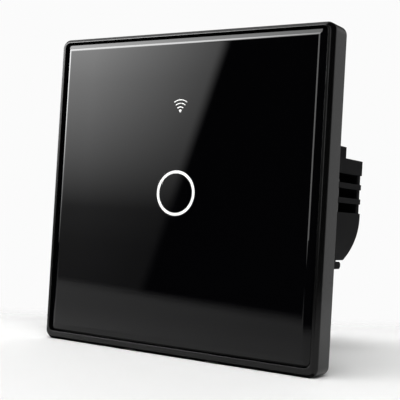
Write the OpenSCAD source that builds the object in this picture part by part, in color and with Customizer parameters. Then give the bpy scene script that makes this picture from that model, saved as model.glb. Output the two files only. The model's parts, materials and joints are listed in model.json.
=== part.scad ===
// Touch light switch: a bevelled glass plate in a square frame, clipped over a base plate on the wall,
// with the electronics in a vented housing that goes into the wall box.
// X runs to the right, Y runs back into the wall and Z runs up. The wall plane is y = 0.

/* [Front panel] */
// Width and height of the square frame
panel_w = 86; // [84:0.5:90]
// Depth of the front panel from the wall to the glass face
panel_d = 7.5; // [7:0.1:8.5]
// Corner radius of the frame
frame_corner_r = 2.5; // [1.5:0.1:4]
// Width of the chamfer round the frame's front edge
frame_chamfer = 0.9; // [0.6:0.05:1]
// Depth of the chamfer round the frame's front edge
chamfer_depth = 1.1; // [0.6:0.05:1.4]
// How far the frame's rim lies behind the glass face
rim_drop = 0.25; // [0.1:0.05:0.5]
// Width of the rim beside the glass opening
rim_w = 1.65; // [1.55:0.05:2.4]
// Corner radius of the glass opening
opening_corner_r = 1.6; // [1:0.1:3]
// How far the glass sits above the frame's centre
glass_rise = 0.6; // [0:0.05:0.65]
// Thickness of the frame's wall behind its ledge
frame_wall = 1.5; // [1.2:0.1:2]
// Distance from the frame's outside to the inner edge of its ledge
ledge_reach = 5.8; // [5.4:0.1:6.4]
// Thickness of the ledge that the glass is stuck to
ledge_t = 1.4; // [1:0.1:1.8]
// Width of a pry notch in the bottom edge
notch_w = 4.7; // [3:0.1:7]
// Distance between the two pry notches
notch_pitch = 26; // [16:0.5:40]
// Depth of a pry notch
notch_depth = 0.9; // [0.5:0.05:1]
// Length of a pry notch from front to back
notch_run = 5.6; // [3:0.1:5.8]

/* [Glass] */
// Thickness of the glass
glass_t = 3; // [2.5:0.1:3.4]
// Gap between the glass and the frame's rim
glass_gap = 0.3; // [0.2:0.05:0.5]
// Width of the polished bevel
bevel_w = 1.75; // [1:0.05:3]
// Depth of the polished bevel
bevel_d = 0.9; // [0.5:0.05:1.4]
// Thickness of the adhesive tape under the glass
tape_t = 0.4; // [0.2:0.05:0.5]
// Width of the adhesive tape
tape_w = 2.6; // [1.5:0.1:3]

/* [Clips] */
// Width of a snap hook on the frame
hook_w = 10; // [6:0.5:14]
// Thickness of a snap hook
hook_t = 1.2; // [0.9:0.1:1.4]
// How far a hook's barb stands out
hook_barb = 0.55; // [0.3:0.05:0.7]
// Distance between two hooks on one edge
hook_pitch = 44; // [34:1:52]
// Thickness of the lip that a barb sits behind
lip_t = 0.9; // [0.6:0.05:1.1]
// Clearance between clipped pieces
clip_gap = 0.15; // [0.1:0.05:0.2]
// Clearance between the front panel and the base plate
seat_gap = 0.3; // [0.2:0.05:0.4]

/* [Wall fixing] */
// Distance between the two fixing slots
fixing_pitch = 60.3; // [60:0.1:61]
// Half width of a fixing slot
fixing_r = 1.9; // [1.7:0.05:2.2]
// Length of a fixing slot from end to end
fixing_l = 6; // [5:0.1:6.4]
// Depth of the recess for the screw's head
fixing_recess = 0.9; // [0.5:0.1:1.2]

/* [Housing] */
// Width of the housing across its vented wings
body_w = 68.3; // [62:0.1:72]
// Depth of the housing behind the wall plane
body_depth = 36; // [34:0.5:42]
// Width of the housing's middle block
core_w = 51; // [49:0.5:53]
// Height of the housing's middle block
core_h = 52.6; // [50:0.2:53]
// Corner radius of the middle block
core_r = 4; // [2:0.5:5]
// Height of a wing's top face above the centre
wing_top = 12.35; // [11.5:0.05:13]
// Depth of a wing's bottom face below the centre
wing_bottom = 15.8; // [15:0.1:17]
// Radius of a wing's lower corner
wing_corner_r = 19; // [14:0.5:20]
// Thickness of the housing's side walls
housing_wall = 1.6; // [1.2:0.1:2]
// Thickness of the housing's rear wall
rear_wall = 1.8; // [1.4:0.1:2.4]
// Chamfer round the housing's rear edge
edge_chamfer = 0.7; // [0.3:0.1:0.7]
// Solid height above the first vent slot
vent_cap = 4.05; // [3:0.05:5]
// Height of a vent slot
vent_h = 2.6; // [1.8:0.05:3]
// Height of a rib between two vent slots
rib_h = 1.45; // [1:0.05:2]
// Number of vent slots in a wing
vent_count = 3; // [2:1:4]
// How far the ribs stand out past the rear wall's edge
rib_stand = 0.75; // [0.4:0.05:0.75]
// Where the vent slots begin behind the wall plane
vent_start = 13; // [11:0.5:18]
// Height of the rim that centres the housing on the base plate
lap_h = 1.6; // [1:0.1:2.4]
// Thickness of that rim
lap_t = 1; // [0.8:0.1:1.4]
// Clearance between pieces that are put together
fit_gap = 0.2; // [0.1:0.05:0.3]

/* [Latch tongues] */
// Reach of the latch tongues behind the wall plane
tongue_l = 30; // [26:0.5:31]
// Width of a latch tongue
tongue_w = 5.6; // [4:0.1:6]
// Thickness of an upper tongue
tongue_top_t = 3.3; // [2:0.1:4]
// Thickness of a lower tongue
tongue_low_t = 2; // [1.6:0.1:3]
// Height of a tongue's barb
tongue_barb = 0.9; // [0.5:0.05:1]
// Length of a tongue's barb
tongue_barb_l = 2.4; // [1.5:0.1:3]

/* [Boards] */
// Thickness of a circuit board
board_t = 1.6; // [1:0.1:2]
// Clearance round a circuit board
board_gap = 0.3; // [0.2:0.05:0.4]
// Wall thickness of the base plate's tray
tray_wall = 1.4; // [1:0.1:1.6]
// Thickness of the tray's floor
floor_t = 1.6; // [1.2:0.1:2]
// Height of the bosses under the touch board
boss_h = 2.2; // [2:0.1:3]
// Radius of a boss
boss_r = 2.6; // [2:0.1:3]
// Radius of a board screw
board_screw_r = 0.9; // [0.7:0.05:1.1]
// Distance of the board screws from the tray's outside
board_screw_in = 5; // [4.6:0.1:6]
// Height of the posts under the power board
post_h = 4; // [3.4:0.1:5]
// Radius of those posts
post_r = 2; // [1.5:0.1:3]

/* [Touch sensor] */
// Height of the touch spring
spring_h = 4.8; // [4.4:0.1:5.6]
// Mean radius of the touch spring
spring_r = 2.6; // [1.8:0.1:3]
// Wire diameter of the touch spring
spring_wire = 0.5; // [0.3:0.05:0.55]
// Number of curls in the touch spring
spring_turns = 4; // [2:1:4]
// Gap between the sensor pieces and the glass
touch_gap = 0.3; // [0.2:0.05:0.5]
// Mean radius of the light ring
guide_r = 5.6; // [5.2:0.1:7]
// Radial width of the light ring
guide_w = 3; // [2.6:0.1:3.6]
// Number of lamps under the light ring
led_count = 4; // [2:1:8]
// Height of a lamp
led_h = 0.8; // [0.5:0.1:1]
// Distance of the wireless symbol below the top of the middle block
icon_in = 3.2; // [3.1:0.1:5]

/* [Terminals] */
// Distance between two poles
pole_pitch = 8.2; // [8:0.1:9]
// Width of a clamp cage
cage_w = 6.4; // [6.2:0.1:6.5]
// Depth of a clamp cage along the wire
cage_l = 5.6; // [4.5:0.1:6.5]
// Wall thickness of a clamp cage
cage_wall = 0.9; // [0.7:0.05:0.9]
// Thickness of a cage's threaded top
cage_top_t = 1.6; // [1.2:0.1:2]
// Height of the wire space in an open cage
wire_space = 4.6; // [4.4:0.1:5]
// Thickness of the contact strip
busbar_t = 1; // [0.8:0.1:1.2]
// Radius of a terminal screw's shank
screw_r = 1.45; // [1.2:0.05:1.6]
// Radius of a terminal screw's head
screw_head_r = 2.4; // [2.3:0.05:2.6]
// Height of a terminal screw's head
screw_head_h = 2; // [1.5:0.1:2.4]
// Travel of a clamp cage
cage_travel = 2.5; // [2:0.1:3]
// Radial clearance of a turning screw
screw_gap = 0.08; // [0.05:0.01:0.1]
// Wall thickness of the terminal block
block_wall = 1.2; // [1:0.1:1.6]

/* [Relay] */
// Length of the relay
relay_l = 15.4; // [15.2:0.1:17]
// Width of the relay
relay_w = 10.4; // [10:0.1:12]
// Wall thickness of the relay's case
relay_wall = 0.7; // [0.5:0.05:0.8]
// Thickness of the relay's base
relay_base_t = 2; // [1.5:0.1:3]
// Thickness of the relay's iron parts
iron_t = 1; // [0.8:0.05:1.2]
// Length of the coil between its flanges
coil_h = 6; // [4.5:0.1:6.5]
// Radius of the coil's core
core_pin_r = 2; // [1.6:0.05:2.2]
// Open gap between the armature and the core
pole_gap = 0.42; // [0.42:0.01:0.6]

/* [Hidden] */
$fn = 48;
// Extra length of a cut past the face that it opens
cut = 1;
// Thickness of the slices that a bevel is drawn between
slice = 0.01;

// Levels from the glass face back to the base plate
y_glass = -panel_d;
y_glass_back = y_glass + glass_t;
y_ledge = y_glass_back + tape_t;
y_ledge_back = y_ledge + ledge_t;
y_flange = y_ledge_back + seat_gap;
y_rim = y_glass + rim_drop;
// Levels from the touch board back to the rear wall
y_board = y_glass_back + touch_gap + spring_h;
y_board_back = y_board + board_t;
y_floor = y_board_back + boss_h;
y_tray = y_floor + floor_t;
y_power = y_tray + post_h;
y_parts = y_power + board_t;
y_rear = body_depth;
y_rear_in = y_rear - rear_wall;

// Panel sizes across the plate
opening_w = panel_w - 2 * rim_w;
glass_w = opening_w - 2 * glass_gap;
ledge_half = panel_w / 2 - ledge_reach;
cavity_w = panel_w - 2 * frame_wall;
flange_w = cavity_w - 2 * seat_gap;

// Snap hooks, measured from the panel's centre
hook_inset = 0.4;
hook_in = ledge_half + hook_inset;
hook_out = hook_in + hook_t;
barb_out = hook_out + hook_barb;
window_out = barb_out + seat_gap;
hook_tip = -0.5;
// Where a pry notch begins behind the rim
notch_start = 0.45;
// How much less the corner is rounded at the front of the frame's chamfer
chamfer_ease = 0.55;
// Corner radii inside the frame, of the glass face and of the tape
cavity_corner_r = 1.2;
ledge_corner_r = 1;
face_corner_r = 0.2;
tape_corner_r = 1.5;
// Width of the recess round a fixing slot
head_margin = 1.4;

// Housing and boards
// Least corner radius of an outline that is drawn in
least_r = 0.5;
// Height above a wing's bottom face where its lower corner begins
wing_knee = 12.16;
tray_half_w = core_w / 2 - tray_wall;
tray_half_h = core_h / 2 - tray_wall;
board_corner_r = 2;
board_w = 2 * (tray_half_w - board_gap);
board_h = 2 * (tray_half_h - board_gap);
screw_x = core_w / 2 - board_screw_in;
screw_z = core_h / 2 - board_screw_in;
// How far a board screw goes into the tray's floor, and the clearance of its hole there and in the board
screw_bite = 0.8;
thread_gap = 0.05;
screw_hole_gap = 0.15;
power_inset = housing_wall + board_gap;
tongue_x = core_w / 2 + seat_gap;
tongue_gap = seat_gap;
barb_inset = 1;
barb_y = tongue_l - tongue_barb_l - barb_inset;
// Ribs in the housing's corners that hold the power board down
board_rib = 2.2;
rib_x = core_w / 2 - housing_wall - board_rib / 2;
rib_z = core_h / 2 - housing_wall - board_rib / 2;

// Height of the wireless symbol above the panel's centre
icon_z = core_h / 2 - icon_in;
// Pockets that lighten the base plate's wings from behind
pocket_inset = housing_wall + fit_gap + lap_t;

// Terminals: levels from the board back to the screw's head
cage_half = cage_w / 2;
cage_gap = 0.2;
block_floor = 1;
y_cage = y_parts + block_floor + cage_gap;
y_wire = y_cage + cage_wall;
y_bar = y_wire + wire_space;
y_bar_back = y_bar + busbar_t;
y_cage_top = y_bar_back + seat_gap;
y_cage_back = y_cage_top + cage_top_t;
y_cavity_back = y_cage_back + cage_travel + seat_gap;
bar_gap = 0.1;
y_head = y_cavity_back + bar_gap;
y_head_back = y_head + screw_head_h;
head_sink = 0.4;
y_block_back = y_head_back + head_sink;
// Terminals: places along the wire, from the bottom wall up
block_gap = 0.5;
z_block = -core_h / 2 + housing_wall + block_gap;
z_cage = z_block + block_wall + cage_gap;
z_screw = z_cage + cage_l / 2;
z_cavity_top = z_cage + cage_l + cage_gap;
// Pocket past the cage for the wire's end, and the wall behind it
pocket_l = 2.4;
pocket_wall = 2.2;
z_pocket = z_cavity_top + pocket_l;
z_block_top = z_pocket + pocket_wall;
cavity_half = cage_half + cage_gap;
wire_half = cage_half - cage_wall;
bar_half = wire_half - seat_gap;
block_w = 2 * (pole_pitch + cavity_half + block_wall);
poles = [-pole_pitch, 0, pole_pitch];
well_r = screw_head_r - fit_gap;
well_wall = 1.1;
y_well = y_block_back + fit_gap;

// Relay: its corner on the board and the levels of its works
relay_side_gap = 0.9;
relay_x = body_w / 2 - housing_wall - relay_side_gap - relay_l;
relay_mid = 1.5;
contact_r = 1;
contact_t = 0.6;
// Room between the case and the contacts, and between the contacts and the coil
contact_room = 0.3;
works_gap = 0.6;
contact_x = relay_x + relay_wall + contact_room + contact_r;
y_yoke = y_parts + relay_base_t;
y_bobbin = y_yoke + iron_t;
bobbin_r = relay_w / 2 - relay_wall - contact_room;
post_t = 0.8;
coil_x = contact_x + post_t / 2 + contact_room + bobbin_r;
flange_t = 0.8;
y_coil = y_bobbin + flange_t;
y_coil_back = y_coil + coil_h;
y_bobbin_back = y_coil_back + flange_t;
barrel_wall = 0.7;
barrel_r = core_pin_r + barrel_wall;
wind_gap = 0.05;
y_pole = y_bobbin_back + wind_gap;
pole_t = 0.55;
pole_lip = 1;
y_pole_back = y_pole + pole_t;
y_arm = y_pole_back + pole_gap;
y_arm_back = y_arm + iron_t;
yoke_x = coil_x + bobbin_r + works_gap;
yoke_half = 3.6;
yoke_foot = 3.2;
arm_half = 3.4;
arm_rest = 0.15;
y_yoke_back = y_arm - arm_rest;
blade_t = 0.2;
blade_half = 1.6;
// Gap between the open contacts, which the armature's stroke all but closes
contact_spare = 0.1;
contact_open = pole_gap + contact_spare;
post_half = 1.5;
y_fixed = y_arm_back - contact_t - contact_open;
relay_top = y_arm_back + blade_t + works_gap + relay_wall;

// Transformer and the parts along the top of the power board
trafo_w = 15;
trafo_h = 12;
trafo_d = 5.2;
trafo_leg = 4.2;
trafo_yoke = 2.2;
trafo_window = (trafo_w - trafo_leg - 2 * trafo_yoke) / 2;
trafo_x = -(body_w / 2 - housing_wall - relay_side_gap - trafo_w / 2);
trafo_z = -1.5;
// Height of the row of parts along the power board's top edge
top_row = 5.7;
top_z = core_h / 2 - housing_wall - top_row;

// A solid with the outline of its children in X and Z, from y0 back to y1
module along_y(y0, y1) {
    translate([0, y1, 0])
        rotate([90, 0, 0])
            linear_extrude(y1 - y0)
                children();
}

// A round bar along Y
module rod(x, z, y0, y1, r) {
    translate([x, y1, z])
        rotate([90, 0, 0])
            cylinder(h = y1 - y0, r = r);
}

// A solid of revolution about a line along Y, with its profile's second value counted back from y
module turned(x, z, y) {
    translate([x, y, z])
        rotate([-90, 0, 0])
            rotate_extrude()
                children();
}

// A block given by its lowest and highest corners
module block(low, high) {
    translate(low)
        cube(high - low);
}

// A rectangle with round corners
module rounded(w, h, r) {
    square([w - 2 * r, h], center = true);
    square([w, h - 2 * r], center = true);
    for (x = [-1, 1])
        for (z = [-1, 1])
            translate([x * (w / 2 - r), z * (h / 2 - r)])
                circle(r);
}

// A plate whose outline grows from one rounded square to a larger one behind it
module bevelled(w0, r0, w1, r1, y0, y1) {
    hull() {
        along_y(y0, y0 + slice)
            rounded(w0, w0, r0);
        along_y(y1 - slice, y1)
            rounded(w1, w1, r1);
    }
}

// The two wings of the housing as one outline, drawn in by inset
module wings(inset) {
    half = body_w / 2 - inset;
    r = wing_corner_r - inset;
    low = -wing_bottom + inset;
    knee = -wing_bottom + wing_knee;
    translate([-half, knee])
        square([2 * half, wing_top - inset - knee]);
    intersection() {
        union() {
            for (side = [-1, 1])
                translate([side * (half - r), knee])
                    circle(r);
            translate([-(half - r), knee - r])
                square([2 * (half - r), r]);
        }
        translate([-half, low])
            square([2 * half, knee - low]);
    }
}

// The outline of the housing, drawn in by inset
module body_outline(inset) {
    rounded(core_w - 2 * inset, core_h - 2 * inset, max(core_r - inset, least_r));
    wings(inset);
}

// Places of the four board screws
module at_screws() {
    for (x = [-1, 1])
        for (z = [-1, 1])
            translate([x * screw_x, 0, z * screw_z])
                children();
}

// Bevelled glass plate
module glass_panel() {
    color([0.03, 0.03, 0.035])
    translate([0, 0, glass_rise]) {
        along_y(y_glass + bevel_d, y_glass_back)
            rounded(glass_w, glass_w, opening_corner_r - glass_gap);
        bevelled(glass_w - 2 * bevel_w, face_corner_r, glass_w, opening_corner_r - glass_gap,
                 y_glass, y_glass + bevel_d);
    }
}

// Adhesive tape between the glass and the ledge
module glass_tape() {
    outer = 2 * (ledge_half + hook_inset + tape_w);
    color([0.12, 0.12, 0.12])
    along_y(y_glass_back, y_ledge)
        difference() {
            rounded(outer, outer, tape_corner_r);
            rounded(outer - 2 * tape_w, outer - 2 * tape_w, tape_corner_r);
        }
}

// One snap hook on the upper edge, at x
module frame_hook(x) {
    translate([x - hook_w / 2, 0, 0]) {
        block([0, y_ledge_back - ledge_t / 2, hook_in], [hook_w, hook_tip, hook_out]);
        block([0, y_flange + lip_t + clip_gap, hook_out - hook_t / 2], [hook_w, hook_tip, barb_out]);
    }
}

// Square frame with its ledge, snap hooks and pry notches
module panel_frame() {
    color([0.06, 0.06, 0.06]) {
        difference() {
            union() {
                along_y(y_rim + chamfer_depth, 0)
                    rounded(panel_w, panel_w, frame_corner_r);
                bevelled(panel_w - 2 * frame_chamfer, frame_corner_r - chamfer_ease, panel_w,
                         frame_corner_r, y_rim, y_rim + chamfer_depth);
            }
            translate([0, 0, glass_rise])
                along_y(y_rim - cut, y_ledge)
                    rounded(opening_w, opening_w, opening_corner_r);
            along_y(y_ledge - cut, y_ledge_back + cut)
                rounded(2 * ledge_half, 2 * ledge_half, ledge_corner_r);
            along_y(y_ledge_back, cut)
                rounded(cavity_w, cavity_w, cavity_corner_r);
            for (side = [-1, 1])
                translate([side * notch_pitch / 2 - notch_w / 2, y_rim + notch_start, -panel_w / 2 - cut])
                    cube([notch_w, notch_run, notch_depth + cut]);
        }
        for (turn = [0, 180])
            rotate([0, turn, 0])
                for (side = [-1, 1])
                    frame_hook(side * hook_pitch / 2);
    }
}

// Window in the base plate for one snap hook, with the lip that the barb sits behind
module hook_window(x) {
    half = hook_w / 2 + seat_gap;
    block([x - half, y_flange - cut, hook_in - seat_gap], [x + half, cut, hook_out + clip_gap]);
    block([x - half, y_flange + lip_t, hook_in - seat_gap], [x + half, cut, window_out]);
}

// Outline of a fixing slot, drawn larger by grow
module slot_outline(grow) {
    run = fixing_l / 2 - fixing_r;
    for (end = [-run, run])
        translate([0, end])
            circle(fixing_r + grow);
    square([2 * (fixing_r + grow), 2 * run], center = true);
}

// One fixing slot with the recess for the screw's head
module fixing_slot(z) {
    translate([0, 0, z]) {
        along_y(y_flange - cut, cut)
            slot_outline(0);
        along_y(y_flange - cut, y_flange + fixing_recess)
            slot_outline(head_margin);
    }
}

// Two latch tongues that hold one wing of the housing
module latch_tongues(side) {
    low_r = tongue_low_t / 2;
    z_top = wing_top + tongue_gap;
    z_low = -wing_bottom - tongue_gap;
    barb_end = tongue_w - barb_inset;
    barb_back = barb_y + tongue_barb_l;
    mirror([side < 0 ? 1 : 0, 0, 0])
        translate([tongue_x, 0, 0]) {
            block([0, -slice, z_top], [tongue_w, tongue_l, z_top + tongue_top_t]);
            block([barb_inset, barb_y, z_top - tongue_barb], [barb_end, barb_back, z_top + slice]);
            block([0, -slice, z_low - tongue_low_t], [tongue_w, tongue_l - low_r, z_low]);
            translate([0, tongue_l - low_r, z_low - low_r])
                rotate([0, 90, 0])
                    cylinder(h = tongue_w, r = low_r);
            block([barb_inset, barb_y, z_low - slice], [barb_end, barb_back, z_low + tongue_barb]);
        }
}

// Base plate: the flange on the wall, the tray for the touch board and the latch tongues
module base_plate() {
    color([0.09, 0.09, 0.09])
    difference() {
        union() {
            along_y(y_flange, 0)
                rounded(flange_w, flange_w, cavity_corner_r - seat_gap);
            along_y(y_flange, y_tray)
                body_outline(0);
            along_y(y_tray - slice, y_tray + lap_h)
                difference() {
                    body_outline(housing_wall + fit_gap);
                    body_outline(pocket_inset);
                }
            for (x = [-1, 1])
                for (z = [-1, 1])
                    rod(x * screw_x, z * screw_z, y_tray - slice, y_power, post_r);
            for (side = [-1, 1])
                latch_tongues(side);
        }
        difference() {
            along_y(y_flange - cut, y_floor)
                rounded(2 * tray_half_w, 2 * tray_half_h, max(core_r - tray_wall, least_r));
            at_screws()
                rod(0, 0, y_board_back, y_floor + cut, boss_r);
        }
        along_y(0, y_tray + lap_h + cut)
            difference() {
                wings(pocket_inset);
                rounded(core_w, core_h, core_r);
            }
        at_screws()
            rod(0, 0, y_board_back - cut, y_floor + screw_bite + thread_gap, board_screw_r + thread_gap);
        along_y(y_floor - cut, y_tray + cut)
            translate([0, header_z])
                square([header_l + 2 * header_margin, header_d + 2 * header_margin], center = true);
        block([-shade_w / 2 - shade_gap, y_flange - cut, icon_z],
              [shade_w / 2 + shade_gap, slice, shade_top + shade_gap]);
        for (turn = [0, 180])
            rotate([0, turn, 0]) {
                for (side = [-1, 1])
                    hook_window(side * hook_pitch / 2);
                fixing_slot(fixing_pitch / 2);
            }
    }
}

// Touch board with its screw holes
module touch_board() {
    color([0.05, 0.22, 0.12])
    along_y(y_board, y_board_back)
        difference() {
            rounded(board_w, board_h, board_corner_r);
            for (x = [-1, 1])
                for (z = [-1, 1])
                    translate([x * screw_x, z * screw_z])
                        circle(board_screw_r + screw_hole_gap);
        }
}

// Path of the touch spring: a straight foot on the board, then the curls
spring_rings = 8;
spring_sides = 6;
spring_foot = spring_wire;
spring_rise = (spring_h - spring_foot - spring_wire / 2) / spring_turns;
spring_path = concat(
    [[spring_r, y_board, 0]],
    [for (i = [0 : spring_turns * spring_rings])
        let (turn = i / spring_rings, a = 360 * turn)
        [spring_r * cos(a), y_board - spring_foot - spring_rise * turn, spring_r * sin(a)]]);
function unit(v) = v / norm(v);
function path_step(i) = unit(spring_path[min(i + 1, len(spring_path) - 1)] - spring_path[max(i - 1, 0)]);
function path_dir(i) = i == 0 ? [0, -1, 0] : path_step(i);
// Each ring is square to the path, with its first point turned towards the spring's axis
function ring_side(i) =
    let (p = spring_path[i], d = path_dir(i), inward = unit([-p[0], 0, -p[2]]))
    unit(inward - (inward * d) * d);
function ring_points(i) =
    let (s = ring_side(i), t = cross(path_dir(i), s))
    [for (k = [0 : spring_sides - 1])
        let (a = 360 * k / spring_sides)
        spring_path[i] + spring_wire / 2 * (cos(a) * s + sin(a) * t)];
spring_points = [for (i = [0 : len(spring_path) - 1]) each ring_points(i)];
function ring_index(i, k) = i * spring_sides + (k % spring_sides);
spring_faces = concat(
    [for (k = [1 : spring_sides - 2]) [0, k, k + 1]],
    [for (i = [0 : len(spring_path) - 2]) for (k = [0 : spring_sides - 1]) each [
        [ring_index(i, k), ring_index(i + 1, k), ring_index(i + 1, k + 1)],
        [ring_index(i, k), ring_index(i + 1, k + 1), ring_index(i, k + 1)]]],
    [for (k = [1 : spring_sides - 2])
        let (last = (len(spring_path) - 1) * spring_sides) [last, last + k + 1, last + k]]);
// Least distance between points of the wire that are more than half a curl apart
spring_gap = min([for (i = [0 : len(spring_path) - 1]) for (j = [0 : len(spring_path) - 1])
    if (j > i + spring_rings / 2) norm(spring_path[i] - spring_path[j])]) - spring_wire;
echo(touch_spring_gap_mm = spring_gap);

// Coil spring that carries the touch from the glass to the board
module touch_spring() {
    color([0.75, 0.72, 0.65])
    polyhedron(spring_points, spring_faces);
}

// Ring that spreads the lamps' light behind the glass
module light_guide() {
    low = guide_r - guide_w / 2;
    high = guide_r + guide_w / 2;
    wall = 0.7;
    lamp_room = 0.4;
    depth = y_board - y_glass_back - touch_gap;
    pocket = led_h + lamp_room;
    color([0.92, 0.93, 0.9])
    turned(0, 0, y_glass_back + touch_gap)
        polygon([[low, 0], [high, 0], [high, depth], [high - wall, depth], [high - wall, depth - pocket],
                 [low + wall, depth - pocket], [low + wall, depth], [low, depth]]);
}

// One lamp on the touch board: a body and its lens
led_half_w = 0.5;
led_half_h = 0.4;
lens_half = 0.35;
lens_h = 0.3;
module led(x, z) {
    y_lens = y_board - led_h + lens_h;
    block([x - led_half_w, y_lens, z - led_half_h], [x + led_half_w, y_board, z + led_half_h]);
    block([x - lens_half, y_board - led_h, z - lens_half], [x + lens_half, y_lens + slice, z + lens_half]);
}

// Lamps under the light ring
module ring_leds() {
    color([0.95, 0.93, 0.8])
    for (i = [0 : led_count - 1])
        let (a = 360 * (i + 0.5) / led_count)
            led(guide_r * cos(a), guide_r * sin(a));
}

// Lamp behind the wireless symbol
module icon_led() {
    color([0.95, 0.93, 0.8])
    led(0, icon_z - shade_shift);
}

// Tapered shade between the symbol's lamp and the glass
shade_w = 6;
shade_h = 4.8;
shade_wall = 0.5;
shade_gap = 0.4;
shade_shift = 0.3;
shade_foot_w = 4.6;
shade_foot_h = 2.8;
shade_top = icon_z + shade_h / 2;
module shade_form(inset, y0, y1) {
    hull() {
        along_y(y0, y0 + slice)
            translate([0, icon_z])
                square([shade_w - 2 * inset, shade_h - 2 * inset], center = true);
        along_y(y1 - slice, y1)
            translate([0, icon_z - shade_shift])
                square([shade_foot_w - 2 * inset, shade_foot_h - 2 * inset], center = true);
    }
}
module icon_shade() {
    y0 = y_glass_back + touch_gap;
    color([0.08, 0.08, 0.08])
    difference() {
        shade_form(0, y0, y_board);
        shade_form(shade_wall, y0 - slice, y_board + slice);
    }
}

// A chip with legs on two sides, standing on a face at y and facing the way of dir
chip_w = 5;
chip_h = 4;
chip_t = 1.5;
chip_legs = 4;
module chip(x, z, y, dir, w, h, t, legs) {
    pitch = w / legs;
    lift = 0.1;
    leg_t = 0.25;
    leg_w = 0.4;
    leg_l = 0.75;
    translate([x, y, z])
        mirror([0, dir > 0 ? 0 : 1, 0]) {
            block([-w / 2, lift, -h / 2], [w / 2, t, h / 2]);
            for (i = [0 : legs - 1])
                for (side = [-1, 1])
                    translate([-w / 2 + pitch * (i + 0.5), 0, side * h / 2])
                        block([-leg_w / 2, 0, -leg_l], [leg_w / 2, leg_t, leg_l]);
        }
}

// Touch controller, placed in from its board screw
touch_chip_in = 7.5;
touch_chip_up = 9.3;
touch_chip_x = screw_x - touch_chip_in;
touch_chip_z = touch_chip_up - screw_z;
module touch_chip() {
    color([0.1, 0.1, 0.1])
    chip(touch_chip_x, touch_chip_z, y_board, -1, chip_w, chip_h, chip_t, chip_legs);
}

// Radio module: its own small board and the shield can on it, placed in from the board screw beside it
wifi_in = 7.5;
wifi_up = 9;
wifi_x = wifi_in - screw_x;
wifi_z = wifi_up - screw_z;
wifi_w = 14;
wifi_h = 12.6;
wifi_board_t = 0.8;
// Bare stretch of the radio's board for its aerial, and the margin round the shield
aerial_l = 2.8;
shield_margin = 0.8;
shield_t = 1.8;
shield_wall = 0.25;
shield_r = 0.6;
module wifi_board() {
    color([0.08, 0.12, 0.3])
    along_y(y_board - wifi_board_t, y_board)
        translate([wifi_x, wifi_z])
            square([wifi_w, wifi_h], center = true);
}
module wifi_shield() {
    w = wifi_w - 2 * shield_margin;
    h = wifi_h - 2 * shield_margin - aerial_l;
    y = y_board - wifi_board_t;
    color([0.75, 0.76, 0.78])
    translate([wifi_x, 0, wifi_z - aerial_l / 2])
        difference() {
            along_y(y - shield_t, y)
                rounded(w, h, shield_r);
            along_y(y - shield_t + shield_wall, y + cut)
                rounded(w - 2 * shield_wall, h - 2 * shield_wall, shield_r - shield_wall);
        }
}

// Board-to-board connector
header_pins = 5;
header_pitch = 2.54;
header_l = header_pins * header_pitch;
header_d = 2.6;
header_z = 14;
header_margin = 0.5;
pin_r = 0.32;
pin_gap = 0.1;
// How far a pin's tip stays off the power board, and the room past it
pin_short = 1;
pin_room = 0.4;
y_socket = y_floor + fit_gap;
module at_pins() {
    for (i = [0 : header_pins - 1])
        translate([(i - (header_pins - 1) / 2) * header_pitch, 0, header_z])
            children();
}
module pin_header() {
    color([0.12, 0.12, 0.12]) {
        along_y(y_board_back, y_floor)
            translate([0, header_z])
                square([header_l, header_d], center = true);
        at_pins()
            rod(0, 0, y_floor - slice, y_power - pin_short, pin_r);
    }
}
module header_socket() {
    color([0.12, 0.12, 0.12])
    difference() {
        along_y(y_socket, y_power)
            translate([0, header_z])
                square([header_l, header_d], center = true);
        at_pins()
            rod(0, 0, y_socket - cut, y_power - pin_short + pin_room, pin_r + pin_gap);
    }
}

// Screws that hold the touch board
module board_screws() {
    head_lip = 0.9;
    head_r = board_screw_r + head_lip;
    head_h = 1.1;
    head_round = 0.7;
    cross_w = 0.4;
    color([0.7, 0.7, 0.72])
    at_screws()
        difference() {
            turned(0, 0, y_board)
                polygon([[0, -head_h], [head_r - head_round, -head_h], [head_r, -head_h / 2], [head_r, 0],
                         [board_screw_r, 0], [board_screw_r, board_t + boss_h],
                         [0, board_t + boss_h + screw_bite]]);
            for (turn = [0, 90])
                rotate([0, turn, 0])
                    translate([-head_r / 2, y_board - head_h - cut, -cross_w / 2])
                        cube([head_r, cut + head_h / 2, cross_w]);
        }
}

// One vent slot through a wing, with the recess that lets the ribs stand out at the rear
module vent_slot(top) {
    half = body_w / 2;
    for (side = [0, 1])
        mirror([side, 0, 0]) {
            block([half - housing_wall - cut, vent_start, top - vent_h], [half + cut, y_rear_in, top]);
            block([half - rib_stand, vent_start, top - vent_h], [half + cut, y_rear + cut, top]);
        }
}

// Recesses in a wing for the barbs of its latch tongues
module tongue_catches() {
    depth = tongue_barb - tongue_gap + fit_gap;
    x0 = barb_inset - fit_gap;
    x1 = tongue_w - barb_inset + fit_gap;
    y0 = barb_y - fit_gap;
    y1 = barb_y + tongue_barb_l + fit_gap;
    for (side = [0, 1])
        mirror([side, 0, 0])
            translate([tongue_x, 0, 0]) {
                block([x0, y0, wing_top - depth], [x1, y1, wing_top + cut]);
                block([x0, y0, -wing_bottom - cut], [x1, y1, -wing_bottom + depth]);
            }
}

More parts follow.
